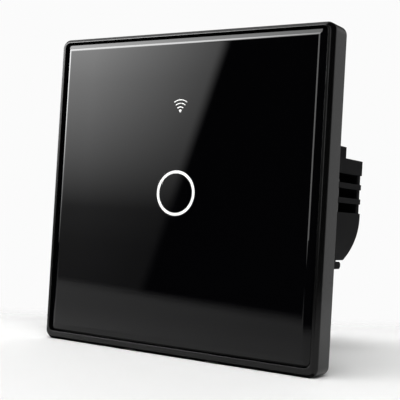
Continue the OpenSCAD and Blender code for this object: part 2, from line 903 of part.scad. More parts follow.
// Housing behind the wall: a shell with vented wings, screwdriver wells and wire entries
module rear_housing() {
    entry_half = wire_half + seat_gap;
    color([0.08, 0.08, 0.08])
    difference() {
        union() {
            difference() {
                union() {
                    along_y(y_tray, y_rear - edge_chamfer)
                        body_outline(0);
                    hull() {
                        along_y(y_rear - edge_chamfer - slice, y_rear - edge_chamfer)
                            rounded(core_w, core_h, core_r);
                        along_y(y_rear - slice, y_rear)
                            rounded(core_w - 2 * edge_chamfer, core_h - 2 * edge_chamfer,
                                    core_r - edge_chamfer);
                    }
                    hull() {
                        along_y(y_rear - edge_chamfer - slice, y_rear - edge_chamfer)
                            wings(0);
                        along_y(y_rear - slice, y_rear)
                            wings(edge_chamfer);
                    }
                }
                along_y(y_tray - cut, y_rear_in)
                    body_outline(housing_wall);
            }
            for (x = [-1, 1])
                for (z = [-1, 1])
                    translate([x * rib_x, 0, z * rib_z])
                        block([-board_rib / 2, y_parts, -board_rib / 2],
                              [board_rib / 2, y_rear_in + slice, board_rib / 2]);
            for (x = poles)
                rod(x, z_screw, y_well, y_rear_in + slice, well_r + well_wall);
        }
        for (x = poles) {
            rod(x, z_screw, y_well - cut, y_rear + cut, well_r);
            block([x - entry_half, y_wire - seat_gap, -core_h / 2 - cut],
                  [x + entry_half, y_bar + seat_gap, -core_h / 2 + housing_wall + slice]);
        }
        for (i = [0 : vent_count - 1])
            vent_slot(wing_top - vent_cap - i * (vent_h + rib_h));
        tongue_catches();
    }
}

// Power board
module power_board() {
    color([0.05, 0.22, 0.12])
    along_y(y_power, y_parts)
        body_outline(power_inset);
}

// Relay base with the slot for the fixed contact
module relay_base() {
    gap = relay_wall + thread_gap;
    slot_gap = 0.1;
    color([0.15, 0.15, 0.16])
    difference() {
        block([relay_x + gap, y_parts, relay_mid - relay_w / 2 + gap],
              [relay_x + relay_l - gap, y_yoke, relay_mid + relay_w / 2 - gap]);
        block([contact_x - post_t / 2 - slot_gap, y_parts - cut, relay_mid - post_half - slot_gap],
              [contact_x + post_t / 2 + slot_gap, y_yoke + cut, relay_mid + post_half + slot_gap]);
    }
}

// Relay case, open towards the board
module relay_case() {
    low = [relay_x, y_parts, relay_mid - relay_w / 2];
    high = [relay_x + relay_l, relay_top, relay_mid + relay_w / 2];
    wall = [relay_wall, 0, relay_wall];
    color([0.1, 0.25, 0.55])
    difference() {
        block(low, high);
        block(low + wall - [0, cut, 0], high - wall - [0, relay_wall, 0]);
    }
}

// Bobbin of the relay's coil
module relay_bobbin() {
    bore = core_pin_r + screw_gap;
    total = y_bobbin_back - y_bobbin;
    color([0.85, 0.82, 0.75])
    turned(coil_x, relay_mid, y_bobbin)
        polygon([[bore, 0], [bobbin_r, 0], [bobbin_r, flange_t], [barrel_r, flange_t],
                 [barrel_r, total - flange_t], [bobbin_r, total - flange_t], [bobbin_r, total],
                 [bore, total]]);
}

// Winding of the relay's coil
module relay_coil() {
    outer = bobbin_r - fit_gap;
    length = coil_h - 2 * wind_gap;
    color([0.72, 0.4, 0.2])
    turned(coil_x, relay_mid, y_coil + wind_gap)
        polygon([[barrel_r + wind_gap, 0], [outer, 0], [outer, length], [barrel_r + wind_gap, length]]);
}

// Iron core with its pole face
module relay_core() {
    length = y_pole - y_yoke;
    color([0.6, 0.6, 0.62])
    turned(coil_x, relay_mid, y_yoke)
        polygon([[0, 0], [core_pin_r, 0], [core_pin_r, length], [core_pin_r + pole_lip, length],
                 [core_pin_r + pole_lip, length + pole_t], [0, length + pole_t]]);
}

// Iron yoke: a foot under the coil and a leg beside it
module relay_yoke() {
    color([0.6, 0.6, 0.62])
    difference() {
        union() {
            block([coil_x - yoke_foot, y_yoke, relay_mid - yoke_half],
                  [yoke_x + iron_t, y_bobbin, relay_mid + yoke_half]);
            block([yoke_x, y_yoke, relay_mid - yoke_half],
                  [yoke_x + iron_t, y_yoke_back, relay_mid + yoke_half]);
        }
        rod(coil_x, relay_mid, y_yoke - cut, y_bobbin + cut, core_pin_r + thread_gap);
    }
}

// Armature that tilts on the yoke's end
module relay_armature() {
    color([0.62, 0.62, 0.64])
    block([contact_x + contact_r + contact_room, y_arm, relay_mid - arm_half],
          [yoke_x + iron_t, y_arm_back, relay_mid + arm_half]);
}

// Spring blade on the armature with the moving contact
module contact_blade() {
    color([0.78, 0.55, 0.3]) {
        block([contact_x - contact_r, y_arm_back, relay_mid - blade_half],
              [yoke_x, y_arm_back + blade_t, relay_mid + blade_half]);
        rod(contact_x, relay_mid, y_arm_back - contact_t, y_arm_back + slice, contact_r);
    }
}

// Fixed contact on its post
module fixed_contact() {
    color([0.78, 0.55, 0.3]) {
        block([contact_x - post_t / 2, y_parts, relay_mid - post_half],
              [contact_x + post_t / 2, y_fixed - contact_t + slice, relay_mid + post_half]);
        rod(contact_x, relay_mid, y_fixed - contact_t, y_fixed, contact_r);
    }
}

// Transformer core with the two windows for its coil
module transformer_core() {
    color([0.2, 0.2, 0.21])
    translate([trafo_x, y_parts, trafo_z])
        difference() {
            block([-trafo_w / 2, 0, -trafo_d / 2], [trafo_w / 2, trafo_h, trafo_d / 2]);
            for (side = [-1, 1])
                translate([side * (trafo_leg + trafo_window) / 2 - trafo_window / 2, trafo_yoke, -trafo_d])
                    cube([trafo_window, trafo_h - 2 * trafo_yoke, 2 * trafo_d]);
        }
}

// Transformer coil round the core's middle leg
module transformer_coil() {
    outer_w = trafo_leg + 2 * (trafo_window - fit_gap);
    outer_d = trafo_d + 2 * (trafo_window - fit_gap);
    bore_gap = 0.15;
    corner_r = 1.5;
    color([0.8, 0.65, 0.2])
    translate([trafo_x, 0, trafo_z])
        along_y(y_parts + trafo_yoke + fit_gap, y_parts + trafo_h - trafo_yoke - fit_gap)
            difference() {
                rounded(outer_w, outer_d, corner_r);
                square([trafo_leg + 2 * bore_gap, trafo_d + 2 * bore_gap], center = true);
            }
}

// Two electrolytic capacitors with the crimp near the board
capacitor_xs = [-6, 4];
capacitor_z = 3;
module bulk_capacitors() {
    r = 4;
    h = 12.5;
    crimp_y = 1.6;
    crimp = 0.4;
    shoulder = 0.5;
    color([0.12, 0.14, 0.3])
    for (x = capacitor_xs)
        turned(x, capacitor_z, y_parts)
            polygon([[0, 0], [r, 0], [r, crimp_y - crimp], [r - crimp, crimp_y], [r, crimp_y + crimp],
                     [r, h - shoulder], [r - shoulder, h], [0, h]]);
}

// Film capacitor across the mains
filter_x = -1.5;
module filter_capacitor() {
    w = 15;
    h = 12.5;
    t = 7.5;
    corner_r = 1;
    color([0.75, 0.6, 0.1])
    translate([filter_x, 0, top_z])
        along_y(y_parts, y_parts + h)
            rounded(w, t, corner_r);
}

// Disc that takes up voltage surges, on two leads
varistor_x = 13;
varistor_drop = 1;
module varistor() {
    r = 5;
    t = 3.6;
    edge = 0.8;
    lead_r = 0.35;
    lead_half = 2.5;
    stand_off = 1.2;
    y_mid = y_parts + r + stand_off;
    color([0.15, 0.3, 0.6])
    translate([varistor_x, 0, top_z - varistor_drop]) {
        translate([0, y_mid, -t / 2])
            rotate_extrude()
                polygon([[0, 0], [r - edge, 0], [r, edge], [r, t - edge], [r - edge, t], [0, t]]);
        for (x = [-lead_half, lead_half])
            rod(x, 0, y_parts, y_mid, lead_r);
    }
}

// Radial fuse
fuse_x = -15.5;
fuse_drop = 0.5;
module fuse() {
    r = 4.2;
    h = 8;
    edge = 0.4;
    color([0.4, 0.2, 0.12])
    turned(fuse_x, top_z - fuse_drop, y_parts)
        polygon([[0, 0], [r, 0], [r, h - edge], [r - edge, h], [0, h]]);
}

// Rectifier and supply chip on the power board
rectifier_x = -4;
rectifier_t = 2;
power_chip_x = 6;
chip_row_z = -6;
module rectifier() {
    color([0.1, 0.1, 0.1])
    chip(rectifier_x, chip_row_z, y_parts, 1, chip_w, chip_h, rectifier_t, chip_legs / 2);
}
module power_chip() {
    color([0.1, 0.1, 0.1])
    chip(power_chip_x, chip_row_z, y_parts, 1, chip_w, chip_h, chip_t, chip_legs);
}

// Terminal block with a cavity, a wire entry and a screw bore for each pole
module terminal_block() {
    color([0.16, 0.16, 0.16])
    difference() {
        block([-block_w / 2, y_parts, z_block], [block_w / 2, y_block_back, z_block_top]);
        for (x = poles) {
            block([x - cavity_half, y_parts + block_floor, z_block + block_wall],
                  [x + cavity_half, y_cavity_back, z_cavity_top]);
            block([x - wire_half, y_wire, z_block - cut], [x + wire_half, y_bar - slice, z_pocket]);
            block([x - bar_half - bar_gap, y_bar - bar_gap, z_cavity_top - cut],
                  [x + bar_half + bar_gap, y_bar_back + bar_gap, z_block_top + cut]);
            rod(x, z_screw, y_cavity_back - cut, y_block_back + cut, screw_head_r + screw_gap);
        }
    }
}

// Contact strips from the clamp cages to the power board
module busbars() {
    z_tail = z_block_top + bar_gap;
    z_end = z_tail + busbar_t;
    color([0.8, 0.62, 0.3])
    for (x = poles) {
        block([x - bar_half, y_bar, z_cage + cage_gap], [x + bar_half, y_bar_back, z_end]);
        block([x - bar_half, y_parts, z_tail], [x + bar_half, y_bar_back, z_end]);
    }
}

// One terminal screw with a slotted head
module terminal_screw(x) {
    y_tip = y_bar_back + bar_gap;
    shank = y_head - y_tip;
    total = y_head_back - y_tip;
    edge = 0.3;
    slot_half = 0.35;
    slot_depth = 0.9;
    color([0.72, 0.73, 0.75])
    difference() {
        turned(x, z_screw, y_tip)
            polygon([[0, 0], [screw_r - edge, 0], [screw_r, edge], [screw_r, shank], [screw_head_r, shank],
                     [screw_head_r, total - edge], [screw_head_r - edge, total], [0, total]]);
        block([x - screw_head_r - cut, y_head_back - slot_depth, z_screw - slot_half],
              [x + screw_head_r + cut, y_head_back + cut, z_screw + slot_half]);
    }
}
module live_screw() { terminal_screw(poles[0]); }
module neutral_screw() { terminal_screw(poles[1]); }
module lamp_screw() { terminal_screw(poles[2]); }

// One rising clamp cage, open along the wire
module clamp_cage(x) {
    color([0.8, 0.68, 0.35])
    difference() {
        block([x - cage_half, y_cage, z_cage], [x + cage_half, y_cage_back, z_cage + cage_l]);
        block([x - wire_half, y_wire, z_cage - cut], [x + wire_half, y_cage_top, z_cage + cage_l + cut]);
        rod(x, z_screw, y_cage_top - cut, y_cage_back + cut, screw_r + screw_gap);
    }
}
module live_cage() { clamp_cage(poles[0]); }
module neutral_cage() { clamp_cage(poles[1]); }
module lamp_cage() { clamp_cage(poles[2]); }

glass_panel();
panel_frame();
glass_tape();
base_plate();
touch_board();
touch_spring();
light_guide();
ring_leds();
icon_led();
icon_shade();
touch_chip();
wifi_board();
wifi_shield();
pin_header();
header_socket();
board_screws();
rear_housing();
power_board();
relay_base();
relay_case();
relay_bobbin();
relay_coil();
relay_core();
relay_yoke();
relay_armature();
contact_blade();
fixed_contact();
transformer_core();
transformer_coil();
bulk_capacitors();
filter_capacitor();
varistor();
fuse();
rectifier();
power_chip();
terminal_block();
busbars();
live_screw();
neutral_screw();
lamp_screw();
live_cage();
neutral_cage();
lamp_cage();
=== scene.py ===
"""Finishes and stage for a touch light switch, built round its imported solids. Lengths are in metres."""

import json
import math

import bpy
from mathutils import Matrix, Vector


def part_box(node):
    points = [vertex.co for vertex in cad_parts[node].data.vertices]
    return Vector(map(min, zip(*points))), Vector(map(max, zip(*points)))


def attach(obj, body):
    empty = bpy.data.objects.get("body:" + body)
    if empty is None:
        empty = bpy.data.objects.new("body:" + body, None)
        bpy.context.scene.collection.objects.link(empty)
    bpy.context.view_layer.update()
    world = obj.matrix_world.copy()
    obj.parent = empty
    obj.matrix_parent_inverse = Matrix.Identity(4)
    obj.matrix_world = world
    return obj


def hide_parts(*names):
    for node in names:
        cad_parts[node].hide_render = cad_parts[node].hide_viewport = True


bl_info = {
    "name": "Touch light switch",
    "version": (1, 0, 0),
    "blender": (4, 5, 0),
    "location": "3D View > Sidebar > Switch",
    "description": "Dresses the solids of a touch light switch and sets it on a pale studio floor",
    "category": "Object",
}

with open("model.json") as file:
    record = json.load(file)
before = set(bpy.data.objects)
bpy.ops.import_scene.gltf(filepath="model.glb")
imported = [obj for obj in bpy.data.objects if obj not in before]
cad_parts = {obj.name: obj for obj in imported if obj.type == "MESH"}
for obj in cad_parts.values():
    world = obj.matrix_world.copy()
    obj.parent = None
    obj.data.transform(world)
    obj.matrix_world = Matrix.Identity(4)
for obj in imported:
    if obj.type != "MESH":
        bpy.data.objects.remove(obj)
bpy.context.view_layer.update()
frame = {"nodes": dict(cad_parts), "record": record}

# Places that the solids give
GLASS_LOW, GLASS_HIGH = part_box("glass_panel")
GLASS_FACE = GLASS_LOW.y
GLASS_WIDTH = GLASS_HIGH.x - GLASS_LOW.x
GLASS_MIDDLE = (GLASS_LOW.z + GLASS_HIGH.z) / 2
BOARD_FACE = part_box("touch_board")[0].y
PANEL_LOW, PANEL_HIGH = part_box("panel_frame")
HEADER_LOW, HEADER_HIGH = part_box("pin_header")
HEADER_MIDDLE = (HEADER_LOW.z + HEADER_HIGH.z) / 2

# How a copied solid is cleaned before its edges are rounded
MERGE_DISTANCE = 0.00002
FLAT_ANGLE = math.radians(1)
# Points closer than this lie in one plane
CLOSE = MERGE_DISTANCE / 10

# Steps of a rounded edge, a ridge and a corner, and how far a cutter reaches past what it cuts
EDGE_STEPS = 3
RIDGE_STEPS = 5
CORNER_STEPS = 12
OVERCUT = 0.001
# Angles past which an edge of each piece counts as sharp
SHARP_GLASS = math.radians(15)
SHARP_FRAME = math.radians(22)
SHARP_MOULDING = math.radians(35)
SHARP_ROUNDED = math.radians(40)
# An edge has space for a rounding if it, its faces and the edges next to it are this many roundings long,
# and if the edges next to it turn away from it, to this cosine or less
SPACE_ALONG, SPACE_BESIDE, SPACE_NEXT = 4, 2, 2.5
SPACE_COSINE = 0.6

# The ground bevel of the glass, and the corner of its outline
GLASS_BEVEL_WIDTH = 0.00175
GLASS_BEVEL_DEPTH = 0.0009
GLASS_CORNER = 0.0013
# The frame's chamfer, its corner, and the opening that the glass lies in
CHAMFER_WIDTH = 0.0009
CHAMFER_DEPTH = 0.0011
SHOULDER = PANEL_LOW.y + CHAMFER_DEPTH
FRAME_CORNER = 0.0025
OPENING_WIDTH = 0.0827
OPENING_CORNER = 0.0016
# The opening's lip is rounded by three flats, each at its own lean
LIP_LEANS = tuple(math.radians(lean) for lean in (15, 45, 75))
# Pry notches in the frame's bottom edge
NOTCH_PLACES = (-0.013, 0.013)
NOTCH_WIDTH = 0.0047
NOTCH_HEIGHT = 0.0009
NOTCH_START = 0.00045
# The frame's new front is set on its solid here
FRAME_SEAM = -0.005

# How far the print is let into the glass, the steps of a full ring, and the fewest steps of an arc
PRINT_SINK = 0.00001
RING_STEPS = 120
FEWEST_STEPS = 8

# Small parts on the touch board: x and z of each, and whether it stands upright
CHIP_PLACES = (
    (0.0080, -0.0172, False), (0.0108, -0.0172, False), (0.0136, -0.0172, False), (0.0164, -0.0172, False),
    (0.0190, -0.0125, True), (0.0190, -0.0100, True), (0.0072, -0.0120, True), (-0.0055, 0.0195, True),
    (0.0055, 0.0195, True), (-0.0110, 0.0030, False), (-0.0138, 0.0030, False), (-0.0166, 0.0030, False),
    (0.0110, 0.0030, False), (0.0138, 0.0030, False), (0.0110, 0.0052, False), (-0.0035, -0.0155, True),
    (-0.0015, -0.0155, True),
)
CHIP_SIZE = Vector((0.0016, 0.00045, 0.0008))
CHIP_END = 0.00035
CHIP_ROUNDING = 0.00005
CHIP_STEPS = 2
# Solder joints on the pins of the header: a flattened half ball on each
HEADER_PINS = 5
HEADER_PITCH = 0.00254
SOLDER_RADIUS = 0.0008
SOLDER_HEIGHT = 0.6
SOLDER_SEGMENTS, SOLDER_RINGS = 20, 12

# Turns of a new plane: face up, face to the front or back, face to a side
FLAT, UPRIGHT, SIDEWAYS = (0, 0, 0), (math.pi / 2, 0, 0), (0, math.pi / 2, 0)

# The floor's front and rear edges: how they lean with X, the half width of the front fade, and the share of
# the distances to the rear and all round at which the floor starts to fade
FRONT_LEAN, FRONT_FADE = -0.29, 0.024
REAR_LEAN, REAR_START = -1.0, 0.3
REACH_START = 0.7
# The floor thins out before the glass, between these distances from it and down to this share
THIN_NEAR, THIN_FAR, THIN_SHARE = 0.012, 0.085, 0.7
# Softness of the strip under the frame's chamfer, where the floor is opened to glossy rays as painted shade
# in the chamfer's reflection
SHADE_STRIP_FADE = 0.0003

# The bright part of the room: spans of the direction's Y, X and Z over which it comes up
ROOM_BACK, ROOM_RIGHT, ROOM_LOW = (0.1, 0.35), (-0.3, 0.25), (0.6, 0.35)
# Share of the room's brightness in all but glossy rays
ROOM_SHARE = 0.78

# Sheets that gloss mirrors: name, place, size, turn, axis of change, and pairs of place and brightness
MIRRORED_SHEETS = (
    ("front_sheet", (-0.65, -0.6075, 0.51), (0.7, 1.2), UPRIGHT, "Z",
     ((-0.09, 0.36), (-0.04, 0.47), (0.0, 0.75), (0.014, 1.5), (0.063, 4.2), (0.142, 8.3), (0.2, 13.0),
      (0.3, 29.0), (0.6, 37.0), (1.11, 20.0))),
    ("left_sheet", (-0.75, -0.31, 0.16), (0.4, 0.38), SIDEWAYS, "Z",
     ((-0.04, 1.1), (0.03, 6.0), (0.1, 18.0), (0.185, 26.0), (0.36, 30.0))),
    ("over_sheet", (-0.36, -0.205, 0.54), (0.52, 0.14), FLAT, "X",
     ((-0.62, 13.0), (-0.5, 12.0), (-0.22, 6.0), (-0.1, 5.0))),
    ("back_sheet", (-0.4, 0.2, 0.56), (0.6, 0.4), FLAT, "X", ((-0.7, 0.8), (-0.1, 0.8))),
    ("front_strip", (0.04, -0.6, 0.16), (0.25, 0.36), UPRIGHT, "Z", ((-0.02, 5.0), (0.34, 7.0))),
)
# Sheets that light the floor and the plastic: the setting of their brightness, place, size and turn
LIGHT_SHEETS = (
    ("fill", (-0.8, 1.18, 1.0), (1.36, 1.26), FLAT),
    ("key", (0.018, -0.434, 0.845), (1.49, 0.3), (math.radians(27.2), 0, math.radians(2.4))),
    ("rear", (0.0, 0.9, 0.1), (0.6, 0.4), UPRIGHT),
    ("side", (-0.8, 0.1, 0.12), (0.4, 0.5), SIDEWAYS),
)
# The slanted edge of the glow in the glass: the sheet that has it, the edge's lean with Z and its span of X,
# then the span of X over which the glow comes up, how much it gains there, and its share at the start
SLANTED_SHEET = "front_sheet"
SLANT_LEAN, SLANT_EDGE = -0.334, (-0.4065, -0.4245)
SLANT_SPAN, SLANT_GAIN, SLANT_SHARE = (-0.33, -0.53), 0.72, 0.18

# The camera stands where the photograph was taken from
CAMERA_PLACE = Vector((0.13566, -0.20699, -0.00638))
CAMERA_TURN = math.radians(32.658)
CAMERA_TILT = math.radians(91.17)
CAMERA_ROLL = math.radians(3.321)
SENSOR_WIDTH = 36.0
CLIP_START = 0.01


# Settings

def length_property(name, description, default):
    """A length that a user may change."""
    return bpy.props.FloatProperty(
        name=name, description=description, default=default, unit="LENGTH", precision=5)


def level_property(name, description, default):
    """A brightness that a user may change."""
    return bpy.props.FloatProperty(name=name, description=description, default=default, min=0.0)


def colour_property(name, description, default):
    """A colour that a user may change."""
    return bpy.props.FloatVectorProperty(
        name=name, description=description, default=default, subtype="COLOR", min=0.0, max=1.0)


class PrintSizes(bpy.types.PropertyGroup):
    """Sizes of the print on the glass"""

    ring_radius: length_property("Ring radius", "Radius of the middle of the touch ring", 0.0056)
    ring_width: length_property("Ring width", "Width of the touch ring's line", 0.00078)
    symbol_height: length_property(
        "Symbol height", "Height of the wireless symbol's point above the centre", 0.0212)
    symbol_spread: bpy.props.FloatProperty(
        name="Symbol spread", description="Angle that the symbol's arcs span", default=math.radians(73),
        subtype="ANGLE", unit="ROTATION")
    symbol_line: length_property("Symbol line", "Width of the wireless symbol's arcs", 0.00027)
    thickness: length_property("Print thickness", "How far the print stands off the glass", 0.00002)


class EdgeSizes(bpy.types.PropertyGroup):
    """Radii of the rounded edges"""

    ridge: length_property("Glass ridge", "Rounding between the face of the glass and its bevel", 0.0005)
    glass: length_property("Glass rim", "Rounding of the outer edge of the glass", 0.0001)
    shoulder: length_property(
        "Frame shoulder", "Rounding between the frame's chamfer and its side wall", 0.00022)
    rim: length_property("Frame rim", "Rounding between the frame's chamfer and its rim", 0.00015)
    lip: length_property("Opening lip", "Rounding of the edge round the glass", 0.000012)
    housing: length_property("Housing", "Rounding of the housing's moulded edges", 0.0003)
    base: length_property("Base plate", "Rounding of the base plate's moulded edges", 0.0001)


class Colours(bpy.types.PropertyGroup):
    """Colours of the outer pieces"""

    glass: colour_property("Glass", "Colour of the back-painted glass", (0.0013, 0.0013, 0.0017))
    frame: colour_property("Frame", "Colour of the frame", (0.003, 0.003, 0.003))
    housing: colour_property("Housing", "Colour of the housing and the base plate", (0.012, 0.012, 0.0125))
    print: colour_property("Print", "Colour of the touch ring and the symbol", (0.78, 0.78, 0.77))
    board: colour_property("Circuit board", "Colour of the solder mask", (0.012, 0.075, 0.035))
    floor: colour_property("Floor", "Colour of the studio floor", (0.86, 0.86, 0.855))


class StageSizes(bpy.types.PropertyGroup):
    """Floor, light and camera"""

    lens: bpy.props.FloatProperty(
        name="Lens", description="Focal length of the camera", default=82.49, subtype="DISTANCE_CAMERA",
        unit="CAMERA")
    floor_front: length_property("Floor front", "How far the floor reaches in front of the glass", 0.114)
    floor_back: length_property(
        "Floor back", "Distance behind the wall plane at which the floor has faded out", 0.16)
    floor_reach: length_property("Floor reach", "Distance at which the floor has faded out", 0.45)
    backdrop: level_property("Backdrop", "Brightness of the plain backdrop", 0.965)
    room: level_property("Room", "Brightness of the room behind the switch, in gloss", 0.75)
    dark_side: level_property("Dark side", "Brightness of the room in front of the switch", 0.004)
    fill: level_property("Fill", "Brightness of the soft light over the floor", 2.4)
    key: level_property("Key", "Brightness of the light that casts the shadow", 10.5)
    rear: level_property("Rear", "Brightness of the low light behind the switch", 5.0)
    side: level_property("Side", "Brightness of the low light on the left", 2.2)


class SwitchSettings(bpy.types.PropertyGroup):
    """Everything that a user may change"""

    print_sizes: bpy.props.PointerProperty(type=PrintSizes)
    edges: bpy.props.PointerProperty(type=EdgeSizes)
    colours: bpy.props.PointerProperty(type=Colours)
    stage: bpy.props.PointerProperty(type=StageSizes)


def settings():
    """The settings of the open scene."""
    return bpy.context.scene.touch_switch


# Modelling helpers

def make_active(piece):
    """Select one object and nothing else."""
    bpy.ops.object.select_all(action="DESELECT")
    piece.select_set(True)
    bpy.context.view_layer.objects.active = piece


def settle(piece):
    """Put the object's place, turn and scale into its mesh."""
    make_active(piece)
    bpy.ops.object.transform_apply(location=True, rotation=True, scale=True)


def start_edit(piece, kind, action):
    """Open a mesh for edits by one kind of element, with all of it selected or none."""
    make_active(piece)
    bpy.ops.object.mode_set(mode="EDIT")
    bpy.ops.mesh.select_mode(type=kind)
    bpy.ops.mesh.select_all(action=action)


def end_edit():
    """Leave edit mode."""
    bpy.ops.object.mode_set(mode="OBJECT")


def close_mesh():
    """Turn all faces outwards and leave edit mode."""
    bpy.ops.mesh.select_all(action="SELECT")
    bpy.ops.mesh.normals_make_consistent(inside=False)
    end_edit()


def pick(piece, kind, chosen):
    """Select the points or the edges that pass a test, and stay in edit mode."""
    start_edit(piece, kind, "DESELECT")
    end_edit()
    elements = piece.data.vertices if kind == "VERT" else piece.data.edges
    for element in elements:
        element.select = chosen(element)
    bpy.ops.object.mode_set(mode="EDIT")


def pick_edges(piece, chosen):
    """Select the edges whose two ends pass a test together, and stay in edit mode."""
    pick(piece, "EDGE", lambda edge: chosen(*(piece.data.vertices[index].co for index in edge.vertices)))


def size_primitive(name, size):
    """Name, size and settle the primitive that was just added."""
    piece = bpy.context.object
    piece.name = name
    piece.scale = size
    settle(piece)
    return piece


def new_plane(name, place, size, turn=FLAT):
    """A rectangle of the given width and height, settled at its place."""
    bpy.ops.object.select_all(action="DESELECT")
    bpy.ops.mesh.primitive_plane_add(size=1, location=place, rotation=turn)
    return size_primitive(name, (*size, 1))


def new_block(name, low, high):
    """A block between two corners, settled at its place."""
    low, high = Vector(low), Vector(high)
    bpy.ops.object.select_all(action="DESELECT")
    bpy.ops.mesh.primitive_cube_add(size=1, location=(low + high) / 2)
    return size_primitive(name, high - low)


def push_out(distance):
    """Extrude the selected faces along Y."""
    bpy.ops.mesh.extrude_region_move(TRANSFORM_OT_translate={"value": (0, distance, 0)})


def rounded_slab(name, width, corner, front, back, height=0.0):
    """A square slab with rounded corners between two depths; its front face stays selected in edit mode."""
    slab = new_plane(name, (0, back, height), (width, width), UPRIGHT)
    start_edit(slab, "VERT", "SELECT")
    bpy.ops.mesh.bevel(offset=corner, segments=CORNER_STEPS, affect="VERTICES")
    bpy.ops.mesh.select_mode(type="FACE")
    bpy.ops.mesh.select_all(action="SELECT")
    push_out(front - back)
    return slab


def clean_copy(node, name):
    """A copy of a solid with its triangles merged into whole faces."""
    piece = bpy.data.objects.new(name, frame["nodes"][node].data.copy())
    bpy.context.scene.collection.objects.link(piece)
    piece.data.materials.clear()
    make_active(piece)
    bpy.ops.mesh.customdata_custom_splitnormals_clear()
    start_edit(piece, "FACE", "SELECT")
    bpy.ops.mesh.remove_doubles(threshold=MERGE_DISTANCE)
    bpy.ops.mesh.dissolve_limited(angle_limit=FLAT_ANGLE)
    end_edit()
    return piece


def bevel_picked(width, steps):
    """Round the selected edges and leave edit mode."""
    bpy.ops.mesh.bevel(offset=width, segments=steps, affect="EDGES", clamp_overlap=False)
    end_edit()


def round_loop(piece, depth, width, steps=RIDGE_STEPS):
    """Round the edges that lie in one plane across Y."""
    pick_edges(piece, lambda first, second: abs(first.y - depth) < CLOSE and abs(second.y - depth) < CLOSE)
    bevel_picked(width, steps)


def round_edges(piece, width, sharp_angle, steps=EDGE_STEPS):
    """Round the edges that are sharper than the given angle."""
    make_active(piece)
    bpy.ops.object.shade_smooth()
    rounding = piece.modifiers.new("Rounded edges", "BEVEL")
    rounding.width = width
    rounding.segments = steps
    rounding.limit_method = "ANGLE"
    rounding.angle_limit = sharp_angle
    rounding.harden_normals = True
    bpy.ops.object.modifier_apply(modifier=rounding.name)


def round_open_edges(piece, width, sharp_angle):
    """Round the sharp edges that have space: at each end two long edges that turn well away."""
    start_edit(piece, "EDGE", "DESELECT")
    bpy.ops.mesh.edges_select_sharp(sharpness=sharp_angle)
    end_edit()
    mesh = piece.data
    sharp = {edge.index for edge in mesh.edges if edge.select}
    ways = []
    touching = [[] for corner in mesh.vertices]
    for edge in mesh.edges:
        first, second = (mesh.vertices[index].co for index in edge.vertices)
        ways.append(second - first)
        for corner in edge.vertices:
            touching[corner].append(edge.index)
    areas = {}
    for face in mesh.polygons:
        for key in face.edge_keys:
            areas[key] = min(face.area, areas.get(key, face.area))

    def has_space(edge):
        way = ways[edge.index]
        if way.length < SPACE_ALONG * width or areas[edge.key] / way.length < SPACE_BESIDE * width:
            return False
        for corner in edge.vertices:
            beside = [ways[other] for other in touching[corner] if other != edge.index]
            if len(beside) != 2 or min(other.length for other in beside) < SPACE_NEXT * width:
                return False
            if max(abs(way.normalized().dot(other.normalized())) for other in beside) > SPACE_COSINE:
                return False
        return True

    pick(piece, "EDGE", lambda edge: edge.index in sharp and has_space(edge))
    bevel_picked(width, EDGE_STEPS)
    smooth_flats(piece, SHARP_ROUNDED)


def smooth_flats(piece, sharp_angle):
    """Smooth the rounded edges and keep the flat faces flat."""
    make_active(piece)
    bpy.ops.object.shade_smooth_by_angle(angle=sharp_angle)
    even = piece.modifiers.new("Flat faces", "WEIGHTED_NORMAL")
    even.keep_sharp = True
    bpy.ops.object.modifier_apply(modifier=even.name)


def cut_away(piece, cutter, operation="DIFFERENCE"):
    """Cut one closed shape from another, or add it, and drop the cutter."""
    make_active(piece)
    cut = piece.modifiers.new("Cut", "BOOLEAN")
    cut.operation = operation
    cut.solver = "EXACT"
    cut.object = cutter
    bpy.ops.object.modifier_apply(modifier=cut.name)
    bpy.data.objects.remove(cutter)


def swept_band(name, centre, radius, width, start, sweep):
    """A thin printed band on the glass face, swept about a line along Y from a start angle."""
    thickness = settings().print_sizes.thickness + PRINT_SINK
    hub = Vector((centre[0], GLASS_FACE + PRINT_SINK - thickness / 2, centre[1]))
    arm = Vector((math.cos(start), 0, math.sin(start)))
    piece = new_plane(name, (0, 0, 0), (width, thickness))
    piece.matrix_world = Matrix.Translation(hub + radius * arm) @ Matrix.Rotation(-start, 4, "Y")
    settle(piece)
    start_edit(piece, "FACE", "SELECT")
    bpy.ops.mesh.delete(type="ONLY_FACE")
    bpy.ops.mesh.select_all(action="SELECT")
    steps = max(FEWEST_STEPS, round(RING_STEPS * sweep / (2 * math.pi)))
    bpy.ops.mesh.spin(steps=steps, angle=sweep, center=hub, axis=(0, 1, 0))
    bpy.ops.mesh.select_all(action="SELECT")
    bpy.ops.mesh.remove_doubles(threshold=PRINT_SINK / 10)
    if sweep < 2 * math.pi:
        bpy.ops.mesh.fill_holes(sides=4)
    close_mesh()
    return piece


def join(pieces, name):
    """Join like pieces into one object."""
    bpy.ops.object.select_all(action="DESELECT")
    for piece in pieces:
        piece.select_set(True)
    bpy.context.view_layer.objects.active = pieces[0]
    bpy.ops.object.join()
    pieces[0].name = name
    return pieces[0]


def copy_of(piece, offset, upright=False):
    """A copy with its own mesh, moved from the first one's place and turned upright if asked."""
    twin = bpy.data.objects.new(piece.name, piece.data.copy())
    bpy.context.scene.collection.objects.link(twin)
    turn = Matrix.Rotation(math.pi / 2, 4, "Y") if upright else Matrix.Identity(4)
    twin.matrix_world = Matrix.Translation(offset) @ turn
    settle(twin)
    return twin


def dress(piece, body, slot):
    """Give a new piece its body, and the finish of the given slot if it has no material yet."""
    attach(piece, body)
    if not piece.data.materials:
        piece.data.materials.append(finish(slot))


# Node helpers

NODE_COLUMN, NODE_ROW = 220, 260


def new_node(tree, kind, **values):
    """Add a node with its settings."""
    node = tree.nodes.new(kind)
    for key, value in values.items():
        setattr(node, key, value)
    return node


